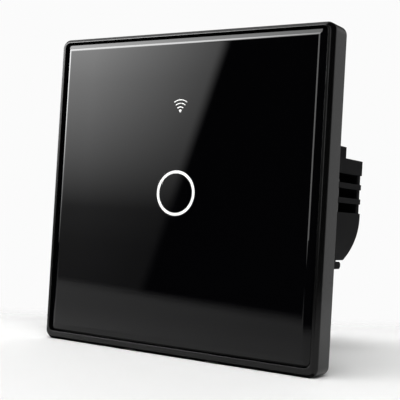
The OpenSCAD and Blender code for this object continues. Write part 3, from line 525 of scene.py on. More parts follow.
def connect(tree, value, socket):
    """Link an output to a socket, or set the socket to a number."""
    if isinstance(value, (int, float)):
        socket.default_value = value
    else:
        tree.links.new(value, socket)


def set_inputs(node, values):
    """Set a node's own sockets, by their names."""
    for label, value in values.items():
        node.inputs[label].default_value = value


def math_node(tree, operation, *values):
    """A Math node on outputs or numbers; returns its output."""
    node = new_node(tree, "ShaderNodeMath", operation=operation)
    for socket, value in zip(node.inputs, values):
        connect(tree, value, socket)
    return node.outputs[0]


def noise(tree, vector, scale, detail):
    """A Noise texture; returns its value."""
    node = new_node(tree, "ShaderNodeTexNoise")
    for label, value in (("Vector", vector), ("Scale", scale), ("Detail", detail)):
        connect(tree, value, node.inputs[label])
    return node.outputs[0]


def tint(tree, colour, amount):
    """A colour made lighter or darker by a factor; returns it."""
    node = new_node(tree, "ShaderNodeVectorMath", operation="SCALE")
    tree.links.new(colour, node.inputs[0])
    tree.links.new(amount, node.inputs["Scale"])
    return node.outputs[0]


def stretched(tree, vector, scale, turn=(0, 0, 0)):
    """Coordinates turned and scaled; returns them."""
    node = new_node(tree, "ShaderNodeMapping")
    set_inputs(node, {"Rotation": turn, "Scale": scale})
    tree.links.new(vector, node.inputs["Vector"])
    return node.outputs[0]


def axes_of(tree, vector):
    """The X, Y and Z outputs of a vector."""
    node = new_node(tree, "ShaderNodeSeparateXYZ")
    tree.links.new(vector, node.inputs[0])
    return node.outputs


def choose(tree, factor, first, second):
    """The first value where the factor is 0 and the second where it is 1; returns it."""
    node = new_node(tree, "ShaderNodeMix", data_type="FLOAT")
    for label, value in (("Factor", factor), ("A", first), ("B", second)):
        connect(tree, value, node.inputs[label])
    return node.outputs[0]


def fade(tree, value, start, end, kind="SMOOTHSTEP"):
    """A step from 0 at start to 1 at end; returns it."""
    node = new_node(tree, "ShaderNodeMapRange", interpolation_type=kind)
    rises = start < end
    set_inputs(node, {"From Min": min(start, end), "From Max": max(start, end),
                      "To Min": 0.0 if rises else 1.0, "To Max": 1.0 if rises else 0.0})
    tree.links.new(value, node.inputs["Value"])
    return node.outputs[0]


def new_tree(owner, output_kind, shader_kind):
    """Give a material or a world one shader and its output; returns the tree and the shader."""
    owner.use_nodes = True
    tree = owner.node_tree
    tree.nodes.clear()
    shader = new_node(tree, shader_kind)
    output = new_node(tree, output_kind)
    tree.links.new(shader.outputs[0], output.inputs["Surface"])
    return tree, shader


def arrange(tree):
    """Set the nodes out in columns, each to the left of what it feeds."""
    columns = {node.name: 0 for node in tree.nodes}
    for _ in tree.nodes:
        for link in tree.links:
            fed = columns[link.to_node.name] + 1
            columns[link.from_node.name] = max(columns[link.from_node.name], fed)
    rows = {}
    for node in tree.nodes:
        column = columns[node.name]
        node.location = (-NODE_COLUMN * column, -NODE_ROW * rows.get(column, 0))
        rows[column] = rows.get(column, 0) + 1


# Node groups that the finishes share

# The middle of a noise, and half the pitch of wires or tracks
NOISE_MIDDLE = 0.5
HALF_PITCH = 0.5
# Drawn metal: how far its shade swings
METAL_MOTTLE = 0.35
# Windings: painted shade in the gap between two wires, the painted light that the crown of a wire adds, and
# how round a wire is
WIRE_GAP_PAINTED_SHADE, WIRE_CROWN_PAINTED_GAIN, WIRE_ROUNDNESS = 0.35, 0.9, 0.5
# Boards: the share of patches whose tracks follow Z, the share that is bare, where a track starts in its
# pitch, the roughness of the mask, and what a track changes in it
TRACKS_UPRIGHT, TRACKS_BARE = 0.5, 0.35
TRACK_START = 0.32
MASK_ROUGHNESS, TRACK_ROUGHNESS = 0.38, -0.08


def new_group(name, inputs, outputs):
    """A group with a vector and named sockets; returns its tree, what it is given and what it puts out."""
    tree = bpy.data.node_groups.new(name, "ShaderNodeTree")
    tree.interface.new_socket(name="Vector", in_out="INPUT", socket_type="NodeSocketVector")
    for label, value in inputs.items():
        kind = "NodeSocketColor" if isinstance(value, tuple) else "NodeSocketFloat"
        tree.interface.new_socket(name=label, in_out="INPUT", socket_type=kind).default_value = value
    for label in outputs:
        kind = "NodeSocketColor" if label == "Colour" else "NodeSocketFloat"
        tree.interface.new_socket(name=label, in_out="OUTPUT", socket_type=kind)
    return tree, new_node(tree, "NodeGroupInput").outputs, new_node(tree, "NodeGroupOutput").inputs


def put_out(tree, out, **values):
    """Link each value to the group's output of that name."""
    for label, value in values.items():
        tree.links.new(value, out[label])


def moulded_grain_group():
    """Moulded plastic: a fine grain, and a slow change of shade and gloss."""
    tree, given, out = new_group(
        "Moulded grain",
        {"Colour": (0.1, 0.1, 0.1, 1), "Mottle": 0.2, "Roughness": 0.4, "Gloss change": 0.1,
         "Grain scale": 4000.0},
        ("Colour", "Roughness", "Height"))
    broad = noise(tree, given["Vector"], scale=110.0, detail=4.0)
    fine = noise(tree, given["Vector"], scale=given["Grain scale"], detail=2.0)
    swing = math_node(tree, "SUBTRACT", broad, NOISE_MIDDLE)
    shade = math_node(tree, "MULTIPLY_ADD", swing, given["Mottle"], 1.0)
    gloss = math_node(tree, "MULTIPLY_ADD", swing, given["Gloss change"], given["Roughness"])
    put_out(tree, out, Colour=tint(tree, given["Colour"], shade), Roughness=gloss, Height=fine)
    return tree


def wiped_gloss_group():
    """Polished surfaces: faint wiped streaks in the gloss."""
    tree, given, out = new_group("Wiped gloss", {"Roughness": 0.02, "Streaks": 0.02}, ("Roughness",))
    wiped = stretched(tree, given["Vector"], scale=(1.0, 1.0, 0.25), turn=(0, math.radians(28), 0))
    streak = noise(tree, wiped, scale=160.0, detail=5.0)
    patch = noise(tree, given["Vector"], scale=45.0, detail=2.0)
    both = math_node(tree, "MULTIPLY", streak, patch)
    rise = math_node(tree, "POWER", both, 2.0)
    gloss = math_node(tree, "MULTIPLY_ADD", rise, given["Streaks"], given["Roughness"])
    put_out(tree, out, Roughness=gloss)
    return tree


def drawn_metal_group():
    """Rolled or plated metal: fine streaks along one axis, and a slow change of shade."""
    tree, given, out = new_group(
        "Drawn metal", {"Colour": (0.7, 0.7, 0.7, 1), "Roughness": 0.3, "Streaks": 0.15},
        ("Colour", "Roughness", "Height"))
    drawn = stretched(tree, given["Vector"], scale=(1.0, 0.08, 1.0))
    streak = noise(tree, drawn, scale=6000.0, detail=3.0)
    broad = noise(tree, given["Vector"], scale=400.0, detail=2.0)
    swing = math_node(tree, "SUBTRACT", streak, NOISE_MIDDLE)
    tone = math_node(tree, "SUBTRACT", broad, NOISE_MIDDLE)
    shade = math_node(tree, "MULTIPLY_ADD", tone, METAL_MOTTLE, 1.0)
    gloss = math_node(tree, "MULTIPLY_ADD", swing, given["Streaks"], given["Roughness"])
    put_out(tree, out, Colour=tint(tree, given["Colour"], shade), Roughness=gloss, Height=streak)
    return tree


def wound_wire_group():
    """Windings: wires side by side along Y, each painted lighter on its crown and darker in the gap beside
    it.
    """
    tree, given, out = new_group(
        "Wound wire", {"Colour": (0.6, 0.25, 0.1, 1), "Wires per metre": 5000.0}, ("Colour", "Height"))
    run = math_node(tree, "MULTIPLY", axes_of(tree, given["Vector"])["Y"], given["Wires per metre"])
    wave = math_node(tree, "PINGPONG", run, HALF_PITCH)
    crown = math_node(tree, "POWER", wave, WIRE_ROUNDNESS)
    # Painted shade: the colour is darkened in the gaps between wires and lightened on their crowns
    shade = math_node(tree, "MULTIPLY_ADD", crown, WIRE_CROWN_PAINTED_GAIN, WIRE_GAP_PAINTED_SHADE)
    put_out(tree, out, Colour=tint(tree, given["Colour"], shade), Height=crown)
    return tree


def board_track_group():
    """Circuit boards: runs of copper track under the solder mask, in patches that turn across each other."""
    tree, given, out = new_group(
        "Board tracks", {"Mask": (0.02, 0.1, 0.05, 1), "Track gain": 1.9, "Tracks per metre": 900.0},
        ("Colour", "Roughness", "Height"))
    axes = axes_of(tree, given["Vector"])
    patches = new_node(tree, "ShaderNodeTexVoronoi", distance="CHEBYCHEV")
    patches.inputs["Scale"].default_value = 170.0
    tree.links.new(given["Vector"], patches.inputs["Vector"])
    draw = new_node(tree, "ShaderNodeSeparateColor")
    tree.links.new(patches.outputs["Color"], draw.inputs[0])
    across = math_node(tree, "GREATER_THAN", draw.outputs[0], TRACKS_UPRIGHT)
    tracked = math_node(tree, "GREATER_THAN", draw.outputs[1], TRACKS_BARE)
    lines = []
    for axis in ("X", "Z"):
        run = math_node(tree, "MULTIPLY", axes[axis], given["Tracks per metre"])
        wave = math_node(tree, "PINGPONG", run, HALF_PITCH)
        lines.append(math_node(tree, "GREATER_THAN", wave, TRACK_START))
    track = math_node(tree, "MULTIPLY", choose(tree, across, *lines), tracked)
    gain = math_node(tree, "SUBTRACT", given["Track gain"], 1.0)
    shade = math_node(tree, "MULTIPLY_ADD", track, gain, 1.0)
    gloss = math_node(tree, "MULTIPLY_ADD", track, TRACK_ROUGHNESS, MASK_ROUGHNESS)
    put_out(tree, out, Colour=tint(tree, given["Mask"], shade), Roughness=gloss, Height=track)
    return tree


GROUPS = {
    "grain": moulded_grain_group,
    "gloss": wiped_gloss_group,
    "metal": drawn_metal_group,
    "wire": wound_wire_group,
    "tracks": board_track_group,
}
made_groups = {}


def group(name):
    """A shared node group, built the first time it is asked for."""
    if name not in made_groups:
        made_groups[name] = GROUPS[name]()
        arrange(made_groups[name])
    return made_groups[name]


# Finishes

def new_finish(name):
    """A material with one shader; returns the material, its tree and its shader."""
    material = bpy.data.materials.new(name)
    return material, *new_tree(material, "ShaderNodeOutputMaterial", "ShaderNodeBsdfPrincipled")


def use_group(tree, name, **values):
    """Place a shared group in a material, on Object coordinates, with its own values."""
    coords = new_node(tree, "ShaderNodeTexCoord")
    node = new_node(tree, "ShaderNodeGroup", node_tree=group(name))
    tree.links.new(coords.outputs["Object"], node.inputs["Vector"])
    set_inputs(node, {key.replace("_", " ").capitalize(): value for key, value in values.items()})
    return node


def feed(tree, shader, node):
    """Link a group's colour to the shader, and its roughness if it has one."""
    tree.links.new(node.outputs["Colour"], shader.inputs["Base Color"])
    if "Roughness" in node.outputs:
        tree.links.new(node.outputs["Roughness"], shader.inputs["Roughness"])


def add_bump(tree, shader, node, distance, strength):
    """Feed a group's height to the shader's normal."""
    bump = new_node(tree, "ShaderNodeBump")
    set_inputs(bump, {"Distance": distance, "Strength": strength})
    tree.links.new(node.outputs["Height"], bump.inputs["Height"])
    tree.links.new(bump.outputs[0], shader.inputs["Normal"])


def opaque(colour):
    """A colour with full alpha."""
    return (*colour, 1.0)


def grained(name, colour, roughness, mottle, change, scale):
    """A finish with a moulded grain; returns the material, its tree, its shader and its grain."""
    material, tree, shader = new_finish(name)
    grain = use_group(tree, "grain", colour=opaque(colour), mottle=mottle, roughness=roughness,
                      gloss_change=change, grain_scale=scale)
    feed(tree, shader, grain)
    return material, tree, shader, grain


def moulded(name, colour, roughness, mottle=0.25, change=0.12, scale=4000.0, depth=0.00001, level=0.5):
    """Moulded plastic."""
    material, tree, shader, grain = grained(name, colour, roughness, mottle, change, scale)
    shader.inputs["Specular IOR Level"].default_value = level
    add_bump(tree, shader, grain, distance=depth, strength=0.5)
    return material


def milky(name, colour):
    """Light-spreading plastic."""
    material, tree, shader, grain = grained(name, colour, roughness=0.3, mottle=0.1, change=0.1, scale=2500.0)
    set_inputs(shader, {"Subsurface Weight": 0.35, "Subsurface Scale": 0.001})
    add_bump(tree, shader, grain, distance=0.000006, strength=0.4)
    return material


def white_ink_with_painted_glow(name, colour):
    """Print on the glass, with a faint painted glow: it gives off light of its own colour though it is no
    lamp.
    """
    material, tree, shader, grain = grained(name, colour, roughness=0.45, mottle=0.08, change=0.1,
                                            scale=9000.0)
    # Painted glow: the print's colour is fed to its emission, so it shines without any lamp behind it
    tree.links.new(grain.outputs["Colour"], shader.inputs["Emission Color"])
    shader.inputs["Emission Strength"].default_value = 0.37
    return material


def polished_glass(name, colour):
    """Black back-painted glass with a polished face."""
    material, tree, shader = new_finish(name)
    paint = use_group(tree, "grain", colour=opaque(colour), mottle=0.3)
    gloss = use_group(tree, "gloss", roughness=0.012, streaks=0.05)
    tree.links.new(paint.outputs["Colour"], shader.inputs["Base Color"])
    tree.links.new(gloss.outputs["Roughness"], shader.inputs["Roughness"])
    shader.inputs["Specular IOR Level"].default_value = 0.22
    return material


def metal(name, colour, roughness, streaks=0.15):
    """Plated or rolled metal."""
    material, tree, shader = new_finish(name)
    drawn = use_group(tree, "metal", colour=opaque(colour), roughness=roughness, streaks=streaks)
    feed(tree, shader, drawn)
    shader.inputs["Metallic"].default_value = 1.0
    add_bump(tree, shader, drawn, distance=0.000004, strength=0.4)
    return material


def winding(name, colour, wires, roughness):
    """Enamelled wire or tape wound in a coil."""
    material, tree, shader = new_finish(name)
    wire = use_group(tree, "wire", colour=opaque(colour), wires_per_metre=wires)
    feed(tree, shader, wire)
    shader.inputs["Roughness"].default_value = roughness
    add_bump(tree, shader, wire, distance=0.00006, strength=0.8)
    return material


def circuit_board(name, colour, gain):
    """A circuit board with tracks under its solder mask."""
    material, tree, shader = new_finish(name)
    tracks = use_group(tree, "tracks", mask=opaque(colour), track_gain=gain)
    feed(tree, shader, tracks)
    add_bump(tree, shader, tracks, distance=0.00004, strength=0.6)
    return material


# The finish of each slot: its name and colour, then its roughness, the gain of its tracks, or its wires per
# metre and roughness
FINISHES = {
    "black_glass": lambda: polished_glass("Black glass", settings().colours.glass),
    "frame_plastic": lambda: moulded("Frame plastic", settings().colours.frame, 0.17, change=0.06,
                                     depth=0.000003, level=0.2),
    "tape": lambda: moulded("Foam tape", (0.015, 0.015, 0.015), 0.85, scale=2500.0, depth=0.00005, level=0.2),
    "housing_plastic": lambda: moulded("Housing plastic", settings().colours.housing, 0.55, level=0.013),
    "terminal_plastic": lambda: moulded("Terminal plastic", (0.02, 0.02, 0.021), 0.45),
    "circuit_board": lambda: circuit_board("Circuit board", settings().colours.board, 1.9),
    "radio_board": lambda: circuit_board("Radio board", (0.01, 0.02, 0.07), 1.7),
    "spring_steel": lambda: metal("Spring steel", (0.62, 0.58, 0.5), 0.24),
    "clear_plastic": lambda: milky("Milky plastic", (0.85, 0.86, 0.84)),
    "lamp_body": lambda: milky("Lamp body", (0.9, 0.84, 0.55)),
    "chip_plastic": lambda: moulded("Chip plastic", (0.018, 0.018, 0.019), 0.55, scale=7000.0),
    "tinned_steel": lambda: metal("Tinned steel", (0.72, 0.72, 0.71), 0.3),
    "zinc_steel": lambda: metal("Zinc-plated steel", (0.66, 0.68, 0.72), 0.28),
    "relay_plastic": lambda: moulded("Relay plastic", (0.017, 0.018, 0.021), 0.35),
    "bobbin_plastic": lambda: moulded("Bobbin plastic", (0.7, 0.66, 0.56), 0.45),
    "copper_wire": lambda: winding("Copper wire", (0.5, 0.17, 0.06), 6500.0, 0.3),
    "soft_iron": lambda: metal("Soft iron", (0.46, 0.46, 0.47), 0.4),
    "contact_brass": lambda: metal("Contact brass", (0.76, 0.54, 0.24), 0.26),
    "ferrite": lambda: moulded("Ferrite", (0.03, 0.03, 0.032), 0.6, mottle=0.5, scale=9000.0),
    "winding_tape": lambda: winding("Winding tape", (0.72, 0.5, 0.08), 700.0, 0.35),
    "capacitor_sleeve": lambda: moulded("Capacitor sleeve", (0.015, 0.02, 0.09), 0.3, scale=1500.0),
    "film_case": lambda: moulded("Film capacitor case", (0.62, 0.43, 0.04), 0.35),
    "varistor_coat": lambda: moulded("Varistor coat", (0.02, 0.07, 0.28), 0.3, scale=1200.0, depth=0.00003),
    "fuse_case": lambda: moulded("Fuse case", (0.11, 0.035, 0.015), 0.4),
    "white_print": lambda: white_ink_with_painted_glow("White print", settings().colours.print),
}
made_finishes = {}


def finish(slot):
    """The finish of a record slot, built the first time it is asked for."""
    if slot not in made_finishes:
        made_finishes[slot] = FINISHES[slot]()
        arrange(made_finishes[slot].node_tree)
    return made_finishes[slot]


# Operators

class SWITCH_OT_front_panel(bpy.types.Operator):
    """Glass plate and frame, with polished and moulded edges"""

    bl_idname = "touch_switch.front_panel"
    bl_label = "Front panel"

    def execute(self, context):
        plate = self.glass_plate()
        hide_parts("glass_panel")
        dress(plate, "front_panel", "black_glass")
        moulding = self.frame_moulding()
        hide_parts("panel_frame")
        dress(moulding, "front_panel", "frame_plastic")
        return {"FINISHED"}

    def glass_plate(self):
        """The plate: a slab whose front is drawn in to a mitred face, with a rounded ridge."""
        edges = settings().edges
        arris = GLASS_FACE + GLASS_BEVEL_DEPTH
        plate = rounded_slab("glass_plate", GLASS_WIDTH, GLASS_CORNER, arris, GLASS_HIGH.y, GLASS_MIDDLE)
        push_out(-GLASS_BEVEL_DEPTH)
        close_mesh()
        for across in (-1, 1):
            for up in (-1, 1):
                self.gather(plate, across, up)
        round_loop(plate, GLASS_FACE, edges.ridge)
        round_loop(plate, arris, edges.glass, EDGE_STEPS)
        self.mark_mitres(plate)
        smooth_flats(plate, SHARP_GLASS)
        return plate

    def gather(self, plate, across, up):
        """Bring the front points of one corner of the plate together at the corner of its face."""
        reach = GLASS_WIDTH / 2 - GLASS_BEVEL_WIDTH
        corner = Vector((across * reach, GLASS_FACE, GLASS_MIDDLE + up * reach))

        def at_corner(point):
            at_front = abs(point.co.y - GLASS_FACE) < CLOSE
            return at_front and point.co.x * across > 0 and (point.co.z - GLASS_MIDDLE) * up > 0

        places = [point.co for point in plate.data.vertices if at_corner(point)]
        centre = sum(places, Vector()) / len(places)
        pick(plate, "VERT", at_corner)
        bpy.ops.mesh.merge(type="CENTER")
        bpy.ops.transform.translate(value=corner - centre)
        end_edit()

    def mark_mitres(self, plate):
        """Keep the two ends of each flat of the bevel sharp."""
        inner = GLASS_WIDTH / 2 - GLASS_CORNER + MERGE_DISTANCE
        longest = 2 * GLASS_BEVEL_WIDTH

        def beside_flat(place):
            on_bevel = GLASS_FACE + MERGE_DISTANCE < place.y < GLASS_FACE + GLASS_BEVEL_DEPTH
            return on_bevel and min(abs(place.x), abs(place.z - GLASS_MIDDLE)) < inner

        pick_edges(plate, lambda first, second: beside_flat(first) and beside_flat(second)
                   and (first - second).length < longest)
        bpy.ops.mesh.mark_sharp()
        end_edit()

    def frame_moulding(self):
        """The frame: a new front with rounded edges, set on the rear of the solid."""
        edges = settings().edges
        width = PANEL_HIGH.x - PANEL_LOW.x
        moulding = rounded_slab("frame_moulding", width, FRAME_CORNER, SHOULDER, FRAME_SEAM)
        bpy.ops.mesh.inset(thickness=CHAMFER_WIDTH, depth=CHAMFER_DEPTH)
        close_mesh()
        round_loop(moulding, SHOULDER, edges.shoulder)
        round_loop(moulding, PANEL_LOW.y, edges.rim)
        cut_away(moulding, self.opening(edges.lip))
        for place in NOTCH_PLACES:
            low = (place - NOTCH_WIDTH / 2, PANEL_LOW.y + NOTCH_START, PANEL_LOW.z - OVERCUT)
            high = (place + NOTCH_WIDTH / 2, FRAME_SEAM + OVERCUT, PANEL_LOW.z + NOTCH_HEIGHT)
            cut_away(moulding, new_block("notch", low, high))
        rear = clean_copy("panel_frame", "frame_rear")
        reach = PANEL_HIGH.x + OVERCUT
        front = new_block("front", (-reach, PANEL_LOW.y - OVERCUT, -reach), (reach, FRAME_SEAM, reach))
        cut_away(rear, front)
        cut_away(moulding, rear, "UNION")
        smooth_flats(moulding, SHARP_FRAME)
        return moulding

    def opening(self, lip):
        """The cutter for the frame's opening, which widens at the front by the rounded lip."""
        cutter = rounded_slab("opening", OPENING_WIDTH, OPENING_CORNER, PANEL_LOW.y + lip,
                              FRAME_SEAM + OVERCUT, GLASS_MIDDLE)
        flat = lip * math.tan(LIP_LEANS[0]) * 2
        for lean in LIP_LEANS:
            bpy.ops.mesh.inset(thickness=flat * math.sin(lean), depth=flat * math.cos(lean), use_outset=True)
        push_out(-OVERCUT)
        close_mesh()
        return cutter


class SWITCH_OT_touch_print(bpy.types.Operator):
    """White touch ring and wireless symbol on the glass"""

    bl_idname = "touch_switch.touch_print"
    bl_label = "Touch print"

    # Radius of the middle of each arc, from the outermost in
    arc_radii = (0.00345, 0.00252, 0.00155)
    # Radii between which the symbol's foot is filled
    foot_radii = (0.00006, 0.00088)

    def execute(self, context):
        sizes = settings().print_sizes
        ring = swept_band("touch_ring", (0, 0), sizes.ring_radius, sizes.ring_width, 0, 2 * math.pi)
        dress(ring, "front_panel", "white_print")
        centre = (0, sizes.symbol_height)
        start = math.pi / 2 - sizes.symbol_spread / 2
        bands = [swept_band("symbol_arc", centre, radius, sizes.symbol_line, start, sizes.symbol_spread)
                 for radius in self.arc_radii]
        inner, outer = self.foot_radii
        bands.append(swept_band("symbol_foot", centre, (inner + outer) / 2, outer - inner, start,
                                sizes.symbol_spread))
        dress(join(bands, "wireless_symbol"), "front_panel", "white_print")
        return {"FINISHED"}


class SWITCH_OT_housing(bpy.types.Operator):
    """Base plate and rear housing, with moulded edges"""

    bl_idname = "touch_switch.housing"
    bl_label = "Housing"

    def execute(self, context):
        edges = settings().edges
        base = clean_copy("base_plate", "base_moulding")
        round_edges(base, edges.base, SHARP_MOULDING)
        housing = clean_copy("rear_housing", "housing_moulding")
        round_open_edges(housing, edges.housing, SHARP_MOULDING)
        for moulding, node in ((base, "base_plate"), (housing, "rear_housing")):
            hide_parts(node)
            dress(moulding, "base", "housing_plastic")
        return {"FINISHED"}


class SWITCH_OT_board_parts(bpy.types.Operator):
    """Small chip parts and solder joints on the touch board"""

    bl_idname = "touch_switch.board_parts"
    bl_label = "Board parts"

    def execute(self, context):
        chip = self.model_chip()
        chips = [copy_of(chip, Vector((x, 0, z)), upright) for x, z, upright in CHIP_PLACES]
        bpy.data.objects.remove(chip)
        dress(join(chips, "chip_parts"), "base", "chip_plastic")
        joint = self.model_joint()
        joints = [copy_of(joint, Vector((HEADER_PITCH * (pin - (HEADER_PINS - 1) / 2), 0, HEADER_MIDDLE)))
                  for pin in range(HEADER_PINS)]
        bpy.data.objects.remove(joint)
        dress(join(joints, "solder_joints"), "base", "tinned_steel")
        return {"FINISHED"}

    def model_chip(self):
        """One chip part on the board face at x = z = 0: a body between two tinned ends."""
        half = CHIP_SIZE / 2
        body_end = half.x - CHIP_END
        chip = new_block("chip_part", (-half.x, BOARD_FACE - CHIP_SIZE.y, -half.z),
                         (half.x, BOARD_FACE, half.z))
        chip.data.materials.append(finish("chip_plastic"))
        chip.data.materials.append(finish("tinned_steel"))
        for side in (-1, 1):
            start_edit(chip, "EDGE", "SELECT")
            bpy.ops.mesh.bisect(plane_co=(side * body_end, 0, 0), plane_no=(1, 0, 0))
            end_edit()
        for face in chip.data.polygons:
            face.material_index = 1 if abs(face.center.x) > body_end else 0
        round_edges(chip, CHIP_ROUNDING, SHARP_ROUNDED, CHIP_STEPS)
        return chip

    def model_joint(self):
        """One solder joint on the board face at x = z = 0: the front half of a flattened ball."""
        face = (0, BOARD_FACE, 0)
        bpy.ops.object.select_all(action="DESELECT")
        bpy.ops.mesh.primitive_uv_sphere_add(segments=SOLDER_SEGMENTS, ring_count=SOLDER_RINGS,
                                             radius=SOLDER_RADIUS, location=face, rotation=UPRIGHT)
        joint = size_primitive("solder_joint", (1, 1, SOLDER_HEIGHT))
        start_edit(joint, "EDGE", "SELECT")
        bpy.ops.mesh.bisect(plane_co=face, plane_no=(0, 1, 0), clear_outer=True, use_fill=True,
                            threshold=CLOSE)
        end_edit()
        bpy.ops.object.shade_smooth_by_angle(angle=SHARP_ROUNDED)
        return joint


class SWITCH_OT_inner_finishes(bpy.types.Operator):
    """Finish of every solid that is left showing, by its slot"""

    bl_idname = "touch_switch.inner_finishes"
    bl_label = "Inner finishes"

    def execute(self, context):
        for part in frame["record"]["subparts"]:
            node = frame["nodes"][part["node"]]
            node.data.materials.clear()
            node.data.materials.append(finish(part["material_slot"]))
        return {"FINISHED"}


class SWITCH_OT_stage(bpy.types.Operator):
    """Pale floor, soft light, backdrop and camera"""

    bl_idname = "touch_switch.stage"
    bl_label = "Stage"

    def execute(self, context):
        self.floor()
        self.backdrop(context.scene)
        self.light_sheets()
        self.camera(context.scene)
        context.scene.view_settings.view_transform = "Standard"
        return {"FINISHED"}

    def floor(self):
        """A floor under the frame that fades into the backdrop."""
        stage = settings().stage
        span = 2 * stage.floor_reach
        floor = new_plane("floor", (0, 0, PANEL_LOW.z), (span, span))
        material, tree, shader, grain = grained("Studio floor", settings().colours.floor, roughness=0.7,
                                                mottle=0.01, change=0.05, scale=1500.0)
        shader.inputs["Specular IOR Level"].default_value = 0.1
        place = new_node(tree, "ShaderNodeTexCoord").outputs["Object"]
        axes = axes_of(tree, place)
        reach = new_node(tree, "ShaderNodeVectorMath", operation="LENGTH")
        tree.links.new(place, reach.inputs[0])
        edge = GLASS_FACE - stage.floor_front
        before = math_node(tree, "MULTIPLY_ADD", axes["X"], FRONT_LEAN, axes["Y"])
        beyond = math_node(tree, "MULTIPLY_ADD", axes["X"], REAR_LEAN, axes["Y"])
        thin = fade(tree, axes["Y"], GLASS_FACE - THIN_FAR, GLASS_FACE - THIN_NEAR)
        under = self.painted_shade_strip(tree, axes)
        glossy = new_node(tree, "ShaderNodeLightPath").outputs["Is Glossy Ray"]
        # Painted shade: glossy rays see through the floor strip under the chamfer, so the chamfer mirrors
        # dark
        glossy_shade_hole = math_node(tree, "MULTIPLY", under, glossy)
        shown = fade(tree, before, edge - FRONT_FADE, edge + FRONT_FADE)
        for share in (
                fade(tree, reach.outputs["Value"], stage.floor_reach, stage.floor_reach * REACH_START),
                fade(tree, beyond, stage.floor_back, stage.floor_back * REAR_START),
                math_node(tree, "MULTIPLY_ADD", thin, 1 - THIN_SHARE, THIN_SHARE),
                math_node(tree, "SUBTRACT", 1.0, glossy_shade_hole)):
            shown = math_node(tree, "MULTIPLY", shown, share)
        tree.links.new(shown, shader.inputs["Alpha"])
        arrange(tree)
        floor.data.materials.append(material)

    def painted_shade_strip(self, tree, axes):
        """A mask of the strip below the frame's chamfer, where the floor is opened to glossy rays only, so
        that the chamfer mirrors the dark room and not the lit floor: painted shade in its reflection.
        """
        width = math_node(tree, "ABSOLUTE", axes["X"])
        across = fade(tree, width, PANEL_HIGH.x + SHADE_STRIP_FADE, PANEL_HIGH.x - SHADE_STRIP_FADE)
        start = fade(tree, axes["Y"], PANEL_LOW.y, PANEL_LOW.y + SHADE_STRIP_FADE)
        end = fade(tree, axes["Y"], SHOULDER + SHADE_STRIP_FADE, SHOULDER)
        return math_node(tree, "MULTIPLY", across, math_node(tree, "MULTIPLY", start, end))

    def backdrop(self, scene):
        """A plain bright backdrop, with the room behind the switch bright and the room before it dark."""
        stage = settings().stage
        scene.world = bpy.data.worlds.new("Studio")
        tree, light = new_tree(scene.world, "ShaderNodeOutputWorld", "ShaderNodeBackground")
        light.inputs["Color"].default_value = (1, 1, 1, 1)
        axes = axes_of(tree, new_node(tree, "ShaderNodeTexCoord").outputs["Generated"])
        behind = fade(tree, axes["Y"], *ROOM_BACK)
        right = fade(tree, axes["X"], *ROOM_RIGHT)
        low = fade(tree, axes["Z"], *ROOM_LOW)
        bright = math_node(tree, "MULTIPLY", math_node(tree, "MULTIPLY", behind, right), low)
        room = math_node(tree, "MULTIPLY_ADD", bright, stage.room - stage.dark_side, stage.dark_side)
        path = new_node(tree, "ShaderNodeLightPath").outputs
        share = math_node(tree, "MULTIPLY_ADD", path["Is Glossy Ray"], 1 - ROOM_SHARE, ROOM_SHARE)
        lit = math_node(tree, "MULTIPLY", room, share)
        tree.links.new(choose(tree, path["Is Camera Ray"], lit, stage.backdrop), light.inputs["Strength"])
        arrange(tree)

    def light_sheets(self):
        """Sheets that the glass and the frame mirror, and the lights that fall on the floor."""
        for name, place, size, turn, axis, steps in MIRRORED_SHEETS:
            sheet = new_plane(name, place, size, turn)
            self.light_up(sheet, axis, steps, slanted=name == SLANTED_SHEET)
            sheet.visible_diffuse = False
        for label, place, size, turn in LIGHT_SHEETS:
            sheet = new_plane(label + "_sheet", place, size, turn)
            level = getattr(settings().stage, label)
            self.light_up(sheet, "X", ((-1.0, level), (1.0, level)))
            sheet.visible_glossy = False

    def light_up(self, sheet, axis, steps, slanted=False):
        """Make a sheet glow along an axis, by pairs of place and brightness."""
        material = bpy.data.materials.new(sheet.name.replace("_", " ").capitalize())
        tree, glow = new_tree(material, "ShaderNodeOutputMaterial", "ShaderNodeEmission")
        axes = axes_of(tree, new_node(tree, "ShaderNodeTexCoord").outputs["Object"])
        low, high = steps[0][0], steps[-1][0]
        peak = max(level for place, level in steps)
        ramp = new_node(tree, "ShaderNodeValToRGB")
        stops = ramp.color_ramp.elements
        while len(stops) < len(steps):
            stops.new(0.5)
        for stop, (place, level) in zip(stops, steps):
            stop.position = (place - low) / (high - low)
            stop.color = opaque([level / peak] * 3)
        tree.links.new(fade(tree, axes[axis], low, high, "LINEAR"), ramp.inputs[0])
        tree.links.new(ramp.outputs[0], glow.inputs["Color"])
        glow.inputs["Strength"].default_value = peak
        if slanted:
            tree.links.new(self.slant(tree, axes, peak), glow.inputs["Strength"])
        arrange(tree)
        sheet.data.materials.append(material)
        sheet.visible_camera = False

    def slant(self, tree, axes, peak):
        """The strength of a glow that ends at a slanted edge and falls off towards it."""
        across = fade(tree, axes["X"], *SLANT_SPAN, "LINEAR")
        gain = math_node(tree, "MULTIPLY_ADD", across, peak * SLANT_GAIN, peak * SLANT_SHARE)
        lean = math_node(tree, "MULTIPLY_ADD", axes["Z"], SLANT_LEAN, axes["X"])
        return math_node(tree, "MULTIPLY", gain, fade(tree, lean, *SLANT_EDGE))

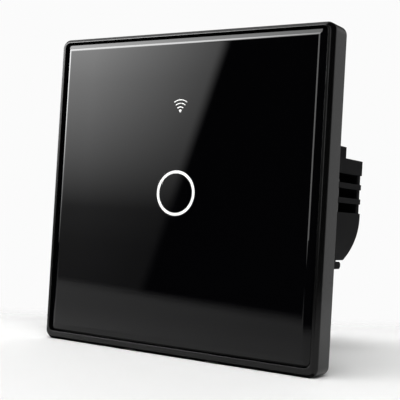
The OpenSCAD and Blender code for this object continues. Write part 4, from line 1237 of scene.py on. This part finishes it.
    def camera(self, scene):
        """The camera, at the photograph's place."""
        lens = bpy.data.cameras.new("Camera")
        lens.lens = settings().stage.lens
        lens.sensor_width = SENSOR_WIDTH
        lens.clip_start = CLIP_START
        camera = bpy.data.objects.new("Camera", lens)
        scene.collection.objects.link(camera)
        camera.matrix_world = (Matrix.Translation(CAMERA_PLACE) @ Matrix.Rotation(CAMERA_TURN, 4, "Z")
                               @ Matrix.Rotation(CAMERA_TILT, 4, "X") @ Matrix.Rotation(CAMERA_ROLL, 4, "Z"))
        scene.camera = camera


class SWITCH_PT_panel(bpy.types.Panel):
    """Settings and steps of the touch light switch"""

    bl_idname = "SWITCH_PT_panel"
    bl_label = "Touch light switch"
    bl_space_type = "VIEW_3D"
    bl_region_type = "UI"
    bl_category = "Switch"

    def draw(self, context):
        for section in ("print_sizes", "edges", "colours", "stage"):
            box = self.layout.box()
            box.label(text=section.replace("_", " ").capitalize())
            values = getattr(context.scene.touch_switch, section)
            for key in values.__annotations__:
                box.prop(values, key)
        for operator in OPERATORS:
            self.layout.operator(operator.bl_idname)


GROUP_CLASSES = (PrintSizes, EdgeSizes, Colours, StageSizes, SwitchSettings)
OPERATORS = (SWITCH_OT_front_panel, SWITCH_OT_touch_print, SWITCH_OT_housing, SWITCH_OT_board_parts,
             SWITCH_OT_inner_finishes, SWITCH_OT_stage)


def register():
    """Register the classes and the scene's settings."""
    for cls in (*GROUP_CLASSES, *OPERATORS, SWITCH_PT_panel):
        bpy.utils.register_class(cls)
    bpy.types.Scene.touch_switch = bpy.props.PointerProperty(type=SwitchSettings)


def unregister():
    """Take the classes and the settings away again."""
    del bpy.types.Scene.touch_switch
    for cls in reversed((*GROUP_CLASSES, *OPERATORS, SWITCH_PT_panel)):
        bpy.utils.unregister_class(cls)


def main():
    """Build the dressed switch."""
    register()
    bpy.ops.touch_switch.front_panel()
    bpy.ops.touch_switch.touch_print()
    bpy.ops.touch_switch.housing()
    bpy.ops.touch_switch.board_parts()
    bpy.ops.touch_switch.inner_finishes()
    bpy.ops.touch_switch.stage()


if __name__ == "__main__":
    main()
